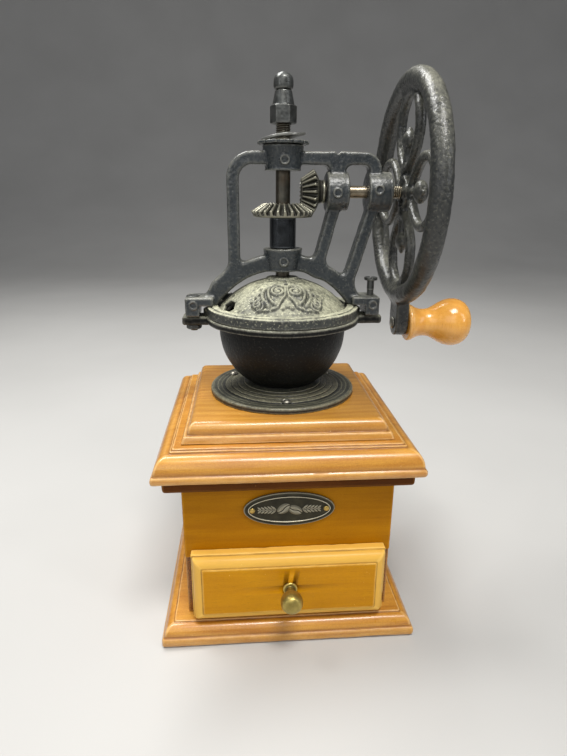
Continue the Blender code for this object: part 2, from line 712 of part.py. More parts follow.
def build_lid(wood):
    """Three stacked boards with one chute through them, and pilot holes for the hopper's screws."""
    boards = (("step_board", STEP_SIDE, step_profile(), STEP_BOTTOM, STEP_HEIGHT),
              ("lid_board", LID_SIDE, lid_profile(), LID_BOTTOM, LID_HEIGHT),
              ("top_tier", TIER_SIDE, tier_profile(), TIER_BOTTOM, TIER_HEIGHT))
    screw_end = FLANGE_BOTTOM + FLANGE_EDGE - FLANGE_SCREW_LENGTH - SEAT_GAP
    for name, side, profile, low, height in boards:
        board = add_object(name, moulded_board(side, side, profile), wood)
        board.location.z = low
        chute = cylinder(CHUTE_RADIUS, low - CUT_OVERRUN, low + height + CUT_OVERRUN)
        combine(board, tool_object(chute))
        if low + height < screw_end:
            continue
        for angle in flange_screw_angles():
            hole = narrow_cylinder(FLANGE_SCREW_RADIUS + RUNNING_GAP, screw_end, TIER_TOP + CUT_OVERRUN)
            place = (FLANGE_SCREW_CIRCLE * math.cos(angle), FLANGE_SCREW_CIRCLE * math.sin(angle), 0)
            combine(board, tool_object(hole, place))


def flange_screw_angles():
    return [2 * math.pi * i / FLANGE_SCREWS - math.pi / 2 for i in range(FLANGE_SCREWS)]


def build_drawer(wood, pale_wood, brass, steel):
    """Raised panel front, two grooved sides, back and bottom, with a turned knob held from inside."""
    slide = axis_empty("drawer_slide", (0, FASCIA_FRONT - SEAT_GAP, (FRONT_TOP + FRONT_BOTTOM) / 2))
    middle = (FRONT_TOP + FRONT_BOTTOM) / 2
    front_bm = lay_along_front(moulded_board(FRONT_WIDTH, FRONT_TOP - FRONT_BOTTOM, front_profile()))
    front = add_object("drawer_front", front_bm, wood, slide)
    thickness = front_profile()[-1][1]
    rise = KNOB_HEIGHT - middle
    hole = lay_along_front(narrow_cylinder(KNOB_SCREW_RADIUS + RUNNING_GAP, -CUT_OVERRUN,
                                           thickness + CUT_OVERRUN))
    sink = lay_along_front(narrow_cylinder(SCREW_HEAD_RADIUS + RUNNING_GAP, -CUT_OVERRUN,
                                           SCREW_HEAD_HEIGHT + SEAT_GAP))
    for cutter in (hole, sink):
        combine(front, tool_object(shift(cutter, (0, slide.location.y, KNOB_HEIGHT))))

    half = BOX_WIDTH / 2 - SIDE_THICKNESS - DRAWER_SIDE_GAP
    low = BOX_BOTTOM - middle
    top = DRAWER_TOP - middle
    start = SEAT_GAP
    end = BOX_DEPTH / 2 - BACK_THICKNESS - DRAWER_BACK_GAP - slide.location.y
    floor = low + DRAWER_BOTTOM_RISE
    floor_top = floor + DRAWER_BOTTOM_BOARD
    for name, side in (("drawer_side_left", -1), ("drawer_side_right", 1)):
        xs = sorted((side * half, side * (half - DRAWER_BOARD)))
        board = add_object(name, block((xs[0], start, low), (xs[1], end, top)), pale_wood, slide)
        inner = side * (half - DRAWER_BOARD)
        groove_xs = sorted((inner + side * DRAWER_GROOVE, inner - side * CUT_OVERRUN))
        groove = block((groove_xs[0], start - CUT_OVERRUN, floor - SEAT_GAP),
                       (groove_xs[1], end + CUT_OVERRUN, floor_top + SEAT_GAP))
        combine(board, tool_object(shift(groove, slide.location)))
    across = half - DRAWER_BOARD - SEAT_GAP
    add_object("drawer_back", block((-across, end - DRAWER_BOARD, floor_top + SEAT_GAP), (across, end, top)),
               pale_wood, slide)
    reach = half - DRAWER_BOARD + DRAWER_GROOVE - SEAT_GAP
    add_object("drawer_bottom", block((-reach, start, floor), (reach, end, floor_top)), pale_wood, slide)

    face = thickness + SEAT_GAP
    neck_end = face + KNOB_WASHER_HEIGHT + KNOB_NECK_LENGTH
    head_end = neck_end + KNOB_HEAD_LENGTH
    bore = KNOB_SCREW_RADIUS + RUNNING_GAP
    bore_end = face + KNOB_WASHER_HEIGHT + KNOB_SCREW_GRIP + SEAT_GAP
    outline = [(0, bore_end), (bore, bore_end), (bore, face), (KNOB_WASHER_RADIUS, face),
               (KNOB_WASHER_RADIUS, face + KNOB_WASHER_HEIGHT),
               (KNOB_NECK_RADIUS, face + KNOB_WASHER_HEIGHT * 2),
               (KNOB_NECK_RADIUS, neck_end - KNOB_WASHER_HEIGHT)]
    head_middle = (neck_end + head_end) / 2
    outline += [(r, h) for r, h in arc((0, head_middle), (KNOB_HEAD_RADIUS, (head_end - neck_end) / 2),
                                      math.radians(-58.0), math.pi / 2, 7)][:-1]
    outline.append((0, head_end))
    knob = lay_along_front(turned(outline, ROUND_SEGMENTS))
    add_object("drawer_knob", shift(knob, (0, 0, rise)), brass, slide)
    tip = bore_end - SEAT_GAP
    screw = turned([(0, SEAT_GAP), (SCREW_HEAD_RADIUS, SEAT_GAP), (SCREW_HEAD_RADIUS, SCREW_HEAD_HEIGHT),
                    (KNOB_SCREW_RADIUS, SCREW_HEAD_HEIGHT), (KNOB_SCREW_RADIUS, tip), (0, tip)],
                   COARSE_SEGMENTS)
    add_object("drawer_knob_screw", shift(lay_along_front(screw), (0, 0, rise)), steel, slide)


def ellipse(width, height, steps):
    return [(width / 2 * math.cos(2 * math.pi * i / steps), height / 2 * math.sin(2 * math.pi * i / steps))
            for i in range(steps)]


def build_plate(plate_metal, brass):
    """Oval plate with a raised rim, held to the fascia by two round headed nails."""
    steps = 26
    bm = bmesh.new()
    rim_out = 2 * PLATE_RIM_INSET
    rim_in = rim_out + 2 * PLATE_RIM_WIDTH
    rim_top = PLATE_THICKNESS + PLATE_RIM_RISE
    levels = ((0, 0), (0, PLATE_THICKNESS), (rim_out, PLATE_THICKNESS), (rim_out, rim_top),
              (rim_in, rim_top), (rim_in, PLATE_THICKNESS))
    rings = []
    for inset, height in levels:
        outline = ellipse(PLATE_WIDTH - inset, PLATE_HEIGHT - inset, steps)
        rings.append([bm.verts.new((x, y, height)) for x, y in outline])
    skin(bm, rings, False)
    bm.faces.new(rings[0][::-1])
    bm.faces.new(rings[-1])
    place = (0, FASCIA_FRONT - SEAT_GAP, PLATE_CENTRE)
    plate = add_object("name_plate", lay_along_front(bm), plate_metal)
    plate.location = place
    for name, x in (("plate_nail_left", -NAIL_SPACING / 2), ("plate_nail_right", NAIL_SPACING / 2)):
        hole = lay_along_front(narrow_cylinder(NAIL_SHANK_RADIUS + RUNNING_GAP, -CUT_OVERRUN,
                                               rim_top + CUT_OVERRUN))
        combine(plate, tool_object(hole, (x, place[1], place[2])))
        seat = PLATE_THICKNESS + SEAT_GAP
        crown = arc((0, seat), (NAIL_HEAD_RADIUS, NAIL_HEAD_HEIGHT), 0, math.pi / 2, 3)
        nail_bm = turned([(0, SEAT_GAP - NAIL_LENGTH), (NAIL_SHANK_RADIUS, SEAT_GAP - NAIL_LENGTH + SEAT_GAP),
                          (NAIL_SHANK_RADIUS, seat), *crown[:-1], (0, seat + NAIL_HEAD_HEIGHT)],
                         COARSE_SEGMENTS)
        nail = add_object(name, lay_along_front(nail_bm), brass)
        nail.location = (x, place[1], place[2])


def bowl_angle(height, radius):
    return -math.asin((BOWL_CENTRE - height) / radius)


def flange_top():
    return FLANGE_BOTTOM + FLANGE_EDGE


def hopper_profile():
    """Closed outline of the hopper: underside, stepped flange, bowl outside, rim, bowl inside and throat."""
    top = flange_top()
    points = [(OUTER_BURR_RADIUS + SEAT_GAP, FLANGE_BOTTOM), (FLANGE_RADIUS, FLANGE_BOTTOM),
              (FLANGE_RADIUS, top - FLANGE_EDGE_ROUND), (FLANGE_RADIUS - FLANGE_EDGE_ROUND, top)]
    for ring in range(FLANGE_RINGS):
        radius = FLANGE_RING_RADIUS - ring * FLANGE_RING_SPACING
        points += [(radius, top + ring * FLANGE_RING_RISE), (radius, top + (ring + 1) * FLANGE_RING_RISE)]
    points += arc((0, BOWL_CENTRE), (BOWL_RADIUS, BOWL_RADIUS), bowl_angle(BOWL_FOOT, BOWL_RADIUS), 0, 5)
    points += [(BOWL_RADIUS, RIM_BOTTOM), (RIM_RADIUS, RIM_BOTTOM), (RIM_RADIUS, RIM_TOP)]
    inner = BOWL_RADIUS - BOWL_WALL
    throat = BOWL_CENTRE - math.sqrt(inner ** 2 - THROAT_RADIUS ** 2)
    points += [(inner, RIM_TOP)]
    points += arc((0, BOWL_CENTRE), (inner, inner), 0, bowl_angle(throat, inner), 5)
    seat = OUTER_BURR_TOP + SEAT_GAP
    points += [(THROAT_RADIUS, seat), (OUTER_BURR_RADIUS + SEAT_GAP, seat)]
    return points


def build_hopper(iron, steel):
    casting = turned(hopper_profile(), FINE_SEGMENTS, bored=True, start_share=0.5)
    hopper = add_object("hopper_bowl", casting, iron)
    hole_low = RIM_TOP - LUG_HEIGHT - CUT_OVERRUN
    hole_high = RIM_TOP + CUT_OVERRUN
    for side in (-1, 1):
        xs = sorted((side * (BOWL_RADIUS - BOWL_WALL / 2), side * LUG_END))
        lug = prism(rounded_plan((xs[0], -LUG_WIDTH / 2), (xs[1], LUG_WIDTH / 2), LUG_CORNER),
                    RIM_TOP - LUG_HEIGHT, RIM_TOP)
        combine(hopper, tool_object(lug), "UNION")
        hole = narrow_cylinder(BOLT_RADIUS + RUNNING_GAP, hole_low, hole_high)
        combine(hopper, tool_object(hole, (side * BOLT_X, 0, 0)))
        hole = narrow_cylinder(EAR_SCREW_RADIUS + RUNNING_GAP, hole_low, hole_high)
        combine(hopper, tool_object(hole, (side * EAR_CENTRE, 0, 0)))
    top = flange_top() + FLANGE_RING_RISE
    names = ("flange_screw_front", "flange_screw_right", "flange_screw_left")
    for name, angle in zip(names, flange_screw_angles()):
        place = (FLANGE_SCREW_CIRCLE * math.cos(angle), FLANGE_SCREW_CIRCLE * math.sin(angle), 0)
        hole = narrow_cylinder(FLANGE_SCREW_RADIUS + RUNNING_GAP, FLANGE_BOTTOM - CUT_OVERRUN,
                               top + CUT_OVERRUN)
        combine(hopper, tool_object(hole, place))
        seat = top + SEAT_GAP
        dome = arc((0, seat), (FLANGE_SCREW_HEAD, SCREW_HEAD_HEIGHT), 0, math.pi / 2, 3)
        end = flange_top() - FLANGE_SCREW_LENGTH
        screw = turned([(0, end), (FLANGE_SCREW_RADIUS, end + FLANGE_SCREW_RADIUS * 2),
                        (FLANGE_SCREW_RADIUS, seat), *dome[:-1], (0, seat + SCREW_HEAD_HEIGHT)],
                       COARSE_SEGMENTS)
        add_object(name, screw, steel).location = place


def dome_shell(outer, wall, low, bore):
    """Closed outline of a spherical shell from a level up to a bore at its top."""
    inner = outer - wall
    points = arc((0, DOME_CENTRE), (outer, outer), math.asin((low - DOME_CENTRE) / outer),
                 math.acos(bore / outer), 5)
    points += arc((0, DOME_CENTRE), (inner, inner), math.acos(bore / inner),
                  math.asin((COVER_BOTTOM - DOME_CENTRE) / inner), 5)
    return points


def wedge(start, end, reach, low, high):
    """A pie slice about Z, in plan from one azimuth to another."""
    steps = max(2, round((end - start) / math.radians(15.0)))
    outline = [(0, 0)] + arc((0, 0), (reach, reach), start, end, steps)
    return prism(outline, low, high)


def build_dome(iron, steel):
    """Cover casting: full band with two ears and the front half of the dome, open at the back."""
    profile = [(BAND_RADIUS, COVER_BOTTOM), (BAND_RADIUS, BAND_TOP - BAND_BEVEL),
               (BAND_RADIUS - BAND_BEVEL, BAND_TOP)]
    profile += dome_shell(DOME_RADIUS, DOME_WALL, BAND_TOP, VERTICAL_RADIUS + DOME_BORE_GAP)
    cover = add_object("dome_cover", turned(profile, FINE_SEGMENTS, bored=True, start_share=0.5), iron)
    away = cylinder(BAND_INNER_RADIUS, COVER_BOTTOM - CUT_OVERRUN, DOME_TOP + CUT_OVERRUN, FINE_SEGMENTS)
    front = block((-2 * DOME_RADIUS, -2 * DOME_RADIUS, 0), (2 * DOME_RADIUS, DOME_BACK_EDGE, 2 * DOME_TOP))
    combine(cover, combine(tool_object(away), tool_object(front)))
    for side in (-1, 1):
        ear = tool_object(shift(cylinder(EAR_RADIUS, COVER_BOTTOM, EAR_TOP), (side * EAR_CENTRE, 0, 0)))
        inside = cylinder(BAND_INNER_RADIUS + CUT_OVERRUN, COVER_BOTTOM - CUT_OVERRUN, DOME_TOP)
        combine(cover, combine(ear, tool_object(inside)), "UNION")
        hole = narrow_cylinder(EAR_SCREW_RADIUS + RUNNING_GAP, COVER_BOTTOM - CUT_OVERRUN,
                               EAR_TOP + CUT_OVERRUN)
        combine(cover, tool_object(hole, (side * EAR_CENTRE, 0, 0)))
        sink = narrow_cylinder(EAR_SCREW_HEAD + EAR_SINK_GAP, EAR_TOP, DOME_TOP)
        combine(cover, tool_object(sink, (side * EAR_CENTRE, 0, 0)))
    peep = hexagon(PEEP_WIDTH / 2, 0, DOME_RADIUS + CUT_OVERRUN)
    bmesh.ops.scale(peep, verts=peep.verts, vec=(PEEP_HEIGHT / PEEP_WIDTH, 1, 1))
    tilt = math.acos(PEEP_REACH / DOME_RADIUS)
    spin = Matrix.Rotation(PEEP_AZIMUTH, 3, "Z") @ Matrix.Rotation(math.pi / 2 - tilt, 3, "Y")
    bmesh.ops.rotate(peep, verts=peep.verts, cent=(0, 0, 0), matrix=spin)
    combine(cover, tool_object(shift(peep, (0, 0, DOME_CENTRE))))

    for name, side in (("dome_screw_left", -1), ("dome_screw_right", 1)):
        seat = EAR_TOP + SEAT_GAP
        end = seat - EAR_SCREW_LENGTH
        head = arc((0, seat), (EAR_SCREW_HEAD, SCREW_HEAD_HEIGHT), 0, math.pi / 2, 3)
        screw = turned([(0, end), (EAR_SCREW_RADIUS, end), (EAR_SCREW_RADIUS, seat), *head[:-1],
                        (0, seat + SCREW_HEAD_HEIGHT)], COARSE_SEGMENTS)
        add_object(name, screw, steel).location.x = side * EAR_CENTRE


def build_hatch(iron):
    """Half dome that turns about the shaft under the cover, with a thumb tab at its left end."""
    outer = DOME_RADIUS - DOME_WALL - HATCH_GAP
    low = COVER_BOTTOM
    shell = dome_shell(outer, HATCH_WALL, low, VERTICAL_RADIUS + DOME_BORE_GAP)
    hatch = add_object("dome_hatch", turned(shell, FINE_SEGMENTS, bored=True, start_share=0.5), iron)
    front = wedge(math.pi + HATCH_OVERLAP, 2 * math.pi - HATCH_OVERLAP, 2 * DOME_RADIUS,
                  low - CUT_OVERRUN, DOME_TOP + CUT_OVERRUN)
    cut_reach = VERTICAL_RADIUS + DOME_BORE_GAP + 2 * HATCH_WALL
    collar = cylinder(cut_reach, low - 2 * CUT_OVERRUN, DOME_TOP + 2 * CUT_OVERRUN)
    slice_piece = combine(tool_object(front), tool_object(collar))
    combine(hatch, slice_piece)
    tab_low = BAND_TOP + TAB_LIFT
    tab_root = math.sqrt(outer ** 2 - (tab_low + TAB_HEIGHT - DOME_CENTRE) ** 2) - HATCH_WALL / 2
    tab = prism(rounded_plan((tab_root, -TAB_WIDTH / 2), (TAB_REACH, TAB_WIDTH / 2), TAB_WIDTH / 3),
                tab_low, tab_low + TAB_HEIGHT)
    bmesh.ops.rotate(tab, verts=tab.verts, cent=(0, 0, 0), matrix=Matrix.Rotation(TAB_AZIMUTH, 3, "Z"))
    combine(hatch, tool_object(tab), "UNION")


def post_path():
    corner = POST_CORNER_RADIUS
    turn = arc((POST_X + corner, TOP_BAR_HEIGHT - corner), (corner, corner), math.pi, math.pi / 2, 5)
    inner = ARCH_RADIUS - ARCH_WIDTH / 2
    low = ARCH_CENTRE + math.sqrt(inner ** 2 - POST_X ** 2) + POST_WIDTH / 2
    return [(POST_X, low), *turn, (-VERTICAL_RADIUS, TOP_BAR_HEIGHT)]


def right_path():
    corner = OUTER_CORNER_RADIUS
    turn = arc((OUTER_NECK_X - corner, TOP_BAR_HEIGHT - corner), (corner, corner), math.pi / 2, 0, 4)
    return [(VERTICAL_RADIUS, TOP_BAR_HEIGHT), *turn, (OUTER_NECK_X, SHAFT_HEIGHT + HORIZONTAL_RADIUS)]


def arch_path():
    start = math.pi / 2 + ARCH_SPREAD
    end = math.pi / 2 - ARCH_SPREAD
    return arc((0, ARCH_CENTRE), (ARCH_RADIUS, ARCH_RADIUS), start, end, 12)


def strut_path(top_x, foot_x, rise):
    foot_z = ARCH_CENTRE + math.sqrt(ARCH_RADIUS ** 2 - foot_x ** 2) + rise
    return [(top_x, SHAFT_HEIGHT - STRUT_TOP_DROP), (foot_x, foot_z)]


def build_frame(iron):
    """One casting: arch, left post, top bar, two struts, four bosses and two feet, then its bores."""
    frame = add_object("arch_frame", bar(arch_path(), ARCH_WIDTH, ARCH_DEPTH, BAR_CHAMFER), iron)
    additions = [
        bar(post_path(), POST_WIDTH, TOP_BAR_DEPTH, BAR_CHAMFER),
        bar(right_path(), TOP_BAR_WIDTH, TOP_BAR_DEPTH, BAR_CHAMFER),
        bar([(INNER_BOSS_X, TOP_BAR_HEIGHT), (INNER_BOSS_X, SHAFT_HEIGHT)], NECK_WIDTH, NECK_DEPTH,
            BAR_CHAMFER),
        bar(strut_path(INNER_BOSS_X, INNER_STRUT_FOOT_X, 0), STRUT_WIDTH, STRUT_DEPTH, BAR_CHAMFER),
        bar(strut_path(OUTER_BOSS_X, OUTER_STRUT_FOOT_X, OUTER_STRUT_FOOT_RISE), STRUT_WIDTH, STRUT_DEPTH,
            BAR_CHAMFER),
        turned([(0, TOP_BOSS_BOTTOM), (TOP_BOSS_FLANGE, TOP_BOSS_BOTTOM),
                (TOP_BOSS_FLANGE, TOP_BOSS_BOTTOM + TOP_BOSS_FLANGE_HEIGHT),
                (TOP_BOSS_WAIST, TOP_BOSS_BOTTOM + TOP_BOSS_FLANGE_HEIGHT + TOP_BOSS_SLOPE),
                (TOP_BOSS_RADIUS, TOP_BOSS_TOP), (0, TOP_BOSS_TOP)], ROUND_SEGMENTS),
        turned([(0, LOW_BOSS_BOTTOM), (LOW_BOSS_RADIUS, LOW_BOSS_BOTTOM),
                (LOW_BOSS_RADIUS, LOW_BOSS_TOP - LOW_BOSS_COLLAR_HEIGHT),
                (LOW_BOSS_COLLAR, LOW_BOSS_TOP - LOW_BOSS_COLLAR_HEIGHT), (LOW_BOSS_COLLAR, LOW_BOSS_TOP),
                (0, LOW_BOSS_TOP)], ROUND_SEGMENTS),
    ]
    for x, length in ((INNER_BOSS_X, INNER_BOSS_LENGTH), (OUTER_BOSS_X, OUTER_BOSS_LENGTH)):
        boss = lay_along_x(cylinder(SIDE_BOSS_RADIUS, -length / 2, length / 2))
        additions.append(shift(boss, (x, 0, SHAFT_HEIGHT)))
    for side in (-1, 1):
        xs = sorted((side * FOOT_INNER, side * FOOT_OUTER))
        foot = prism(rounded_plan((xs[0], -FOOT_DEPTH / 2), (xs[1], FOOT_DEPTH / 2), FOOT_CORNER),
                     FOOT_BOTTOM, FOOT_TOP)
        foot_piece = tool_object(foot)
        recess_xs = sorted((side * (FOOT_INNER - CUT_OVERRUN), side * FOOT_LEG_INNER))
        recess = block((recess_xs[0], -FOOT_DEPTH, FOOT_BOTTOM - CUT_OVERRUN),
                       (recess_xs[1], FOOT_DEPTH, FOOT_RECESS_TOP))
        combine(frame, combine(foot_piece, tool_object(recess)), "UNION")
    for addition in additions:
        combine(frame, tool_object(addition), "UNION")
    bore = cylinder(VERTICAL_RADIUS + RUNNING_GAP, LOW_BOSS_BOTTOM - CUT_OVERRUN, TOP_BOSS_TOP + CUT_OVERRUN)
    combine(frame, tool_object(bore))
    cross = lay_along_x(cylinder(HORIZONTAL_RADIUS + RUNNING_GAP, INNER_BOSS_X - INNER_BOSS_LENGTH,
                                 OUTER_BOSS_X + OUTER_BOSS_LENGTH, ROUND_SEGMENTS))
    combine(frame, tool_object(shift(cross, (0, 0, SHAFT_HEIGHT))))
    for side in (-1, 1):
        hole = narrow_cylinder(BOLT_RADIUS + RUNNING_GAP, FOOT_BOTTOM - CUT_OVERRUN, FOOT_TOP + CUT_OVERRUN)
        combine(frame, tool_object(shift(hole, (side * BOLT_X, 0, 0))))
    sink = narrow_cylinder(BOLT_HEAD_RADIUS + RUNNING_GAP, FOOT_TOP - BOLT_HEAD_HEIGHT,
                           FOOT_TOP + CUT_OVERRUN)
    combine(frame, tool_object(shift(sink, (-BOLT_X, 0, 0))))


def build_foot_bolts(steel):
    """The left bolt is driven home into its sunk seat, and the right one stands proud."""
    lug_bottom = RIM_TOP - LUG_HEIGHT
    left_end = lug_bottom - SEAT_GAP - NUT_HEIGHT - BOLT_TAIL
    bolts = (("foot_bolt_left", -1, FOOT_TOP - BOLT_HEAD_HEIGHT + SEAT_GAP, left_end),
             ("foot_bolt_right", 1, FOOT_TOP + BOLT_LIFT, lug_bottom + LONG_BOLT_SHORTFALL))
    for name, side, seat, end in bolts:
        edge = BOLT_HEAD_HEIGHT / 4
        bolt = turned([(0, end), (BOLT_RADIUS - edge, end), (BOLT_RADIUS, end + edge), (BOLT_RADIUS, seat),
                       (BOLT_HEAD_RADIUS, seat), (BOLT_HEAD_RADIUS, seat + BOLT_HEAD_HEIGHT - edge),
                       (BOLT_HEAD_RADIUS - edge, seat + BOLT_HEAD_HEIGHT), (0, seat + BOLT_HEAD_HEIGHT)],
                      COARSE_SEGMENTS)
        add_object(name, shift(bolt, (side * BOLT_X, 0, 0)), steel)
    top = lug_bottom - SEAT_GAP
    nut = add_object("foot_nut", shift(hexagon(NUT_RADIUS, top - NUT_HEIGHT, top), (-BOLT_X, 0, 0)), steel)
    hole = narrow_cylinder(BOLT_RADIUS + RUNNING_GAP, top - NUT_HEIGHT - CUT_OVERRUN, top + CUT_OVERRUN)
    combine(nut, tool_object(shift(hole, (-BOLT_X, 0, 0))))


def bevel_gear(teeth, mate_teeth, phase, body):
    """A straight bevel gear about Z with its pitch cone's apex at the origin and its teeth at negative Z.

    Body is a closed set of (radius, depth below the apex) points from the big end round to the small end.
    """
    pitch_radius = GEAR_PITCH_RADIUS * teeth / GEAR_TEETH
    cone = math.atan2(teeth, mate_teeth)
    length = pitch_radius / math.sin(cone)
    module = 2 * pitch_radius / teeth
    along = Vector((math.sin(cone), math.cos(cone)))
    outward = Vector((math.cos(cone), -math.sin(cone)))
    tip = along * length + outward * module * ADDENDUM_SHARE
    root = along * length - outward * module * DEDENDUM_SHARE
    pitch = 2 * math.pi / teeth
    bm = bmesh.new()
    corners = ((root, -TOOTH_ROOT_SHARE), (tip, -TOOTH_TIP_SHARE), (tip, TOOTH_TIP_SHARE),
               (root, TOOTH_ROOT_SHARE))
    rings = []
    for scale in (1 - FACE_SHARE, 1.0):
        ring = []
        for tooth in range(teeth):
            for point, share in corners:
                angle = phase + (tooth + share) * pitch
                reach = point[0] * scale
                ring.append(bm.verts.new((reach * math.cos(angle), reach * math.sin(angle),
                                          -point[1] * scale)))
        rings.append(ring)
    for radius, depth in body:
        ring = []
        for tooth in range(teeth):
            for _, share in corners:
                angle = phase + (tooth + share) * pitch
                ring.append(bm.verts.new((radius * math.cos(angle), radius * math.sin(angle), -depth)))
        rings.append(ring)
    skin(bm, rings, True)
    return bm


def gear_sizes(teeth, mate_teeth):
    """Radius and depth of the root circle at the big end and at the small end."""
    pitch_radius = GEAR_PITCH_RADIUS * teeth / GEAR_TEETH
    cone = math.atan2(teeth, mate_teeth)
    length = pitch_radius / math.sin(cone)
    module = 2 * pitch_radius / teeth
    drop = module * DEDENDUM_SHARE
    radius = length * math.sin(cone) - drop * math.cos(cone)
    depth = length * math.cos(cone) + drop * math.sin(cone)
    return radius, depth, radius * (1 - FACE_SHARE), depth * (1 - FACE_SHARE)


def sleeve_top():
    radius, depth, _, _ = gear_sizes(GEAR_TEETH, PINION_TEETH)
    return SHAFT_HEIGHT - depth - GEAR_BACK_HEIGHT - SEAT_GAP


def build_grind_train(iron, steel, dark_steel):
    """The vertical shaft with its bevel gear, sleeve, inner burr and burr nut."""
    axis = axis_empty("grind_axis", (0, 0, 0))
    bore = VERTICAL_RADIUS + RUNNING_GAP
    radius, depth, _, small_depth = gear_sizes(GEAR_TEETH, PINION_TEETH)
    back = depth + GEAR_BACK_HEIGHT
    body = [(radius, back), (bore, back), (bore, small_depth)]
    gear = bevel_gear(GEAR_TEETH, PINION_TEETH, 0.0, body)
    add_object("bevel_gear", shift(gear, (0, 0, SHAFT_HEIGHT)), steel, axis)

    sleeve_low = LOW_BOSS_TOP + SEAT_GAP
    sleeve = turned([(bore, sleeve_low), (SLEEVE_RADIUS, sleeve_low), (SLEEVE_RADIUS, sleeve_top()),
                     (bore, sleeve_top())], ROUND_SEGMENTS, bored=True)
    add_object("gear_sleeve", sleeve, dark_steel, axis)

    top = NUT_BOTTOM + NUT_BORE_DEPTH - SEAT_GAP
    vertical_bottom = INNER_BURR_TOP - INNER_BURR_HEIGHT - SEAT_GAP - BURR_NUT_HEIGHT - VERTICAL_TAIL
    add_object("vertical_shaft", cylinder(VERTICAL_RADIUS, vertical_bottom, top, ROUND_SEGMENTS), steel, axis)

    burr_low = INNER_BURR_TOP - INNER_BURR_HEIGHT
    inner = burr_cone(burr_low, INNER_BURR_TOP, outer_burr_radius(burr_low) - BURR_GAP,
                      INNER_BURR_SHOULDER, bore)
    add_object("inner_burr", inner, dark_steel, axis)
    nut_top = burr_low - SEAT_GAP
    nut = add_object("burr_nut", hexagon(BURR_NUT_RADIUS, nut_top - BURR_NUT_HEIGHT, nut_top), dark_steel,
                     axis)
    hole = narrow_cylinder(bore, nut_top - BURR_NUT_HEIGHT - CUT_OVERRUN, nut_top + CUT_OVERRUN)
    combine(nut, tool_object(hole))
    return axis


def outer_burr_radius(height):
    """Inside radius of the outer burr's cone at a height, at the tips of its teeth."""
    share = (OUTER_BURR_TOP - height) / OUTER_BURR_HEIGHT
    return OUTER_BURR_MOUTH + (OUTER_BURR_THROAT - OUTER_BURR_MOUTH) * share


def burr_cone(low, high, low_radius, high_radius, bore):
    """A cone whose cutting ridges wind down its side."""
    bm = bmesh.new()
    rings = []
    levels = 5
    count = 2 * BURR_TEETH
    for level in range(levels + 1):
        share = level / levels
        radius = low_radius + (high_radius - low_radius) * share ** 2
        height = low + (high - low) * share
        ring = []
        for i in range(count):
            angle = 2 * math.pi * i / count + BURR_TWIST * share
            reach = radius if i % 2 else radius - BURR_TOOTH_DEPTH
            ring.append(bm.verts.new((reach * math.cos(angle), reach * math.sin(angle), height)))
        rings.append(ring)
    for height, twist in ((high, BURR_TWIST), (low, 0)):
        angles = [2 * math.pi * i / count + twist for i in range(count)]
        rings.append([bm.verts.new((bore * math.cos(a), bore * math.sin(a), height)) for a in angles])
    skin(bm, rings, True)
    return bm


def build_outer_burr(dark_steel):
    """The fixed ring that sits up inside the hopper's foot, with ridges inside its cone."""
    bm = bmesh.new()
    rings = []
    levels = 4
    low = OUTER_BURR_TOP - OUTER_BURR_HEIGHT
    count = 2 * BURR_TEETH
    for level in range(levels + 1):
        share = level / levels
        height = low + OUTER_BURR_HEIGHT * share
        radius = outer_burr_radius(height)
        ring = []
        for i in range(count):
            angle = 2 * math.pi * i / count - BURR_TWIST * share / 2
            reach = radius if i % 2 else radius + BURR_TOOTH_DEPTH
            ring.append(bm.verts.new((reach * math.cos(angle), reach * math.sin(angle), height)))
        rings.append(ring)
    for height, twist in ((OUTER_BURR_TOP, BURR_TWIST / 2), (low, 0)):
        rings.append([bm.verts.new((OUTER_BURR_RADIUS * math.cos(2 * math.pi * i / count - twist),
                                    OUTER_BURR_RADIUS * math.sin(2 * math.pi * i / count - twist), height))
                      for i in range(count)])
    skin(bm, rings, True)
    add_object("outer_burr", bm, dark_steel)


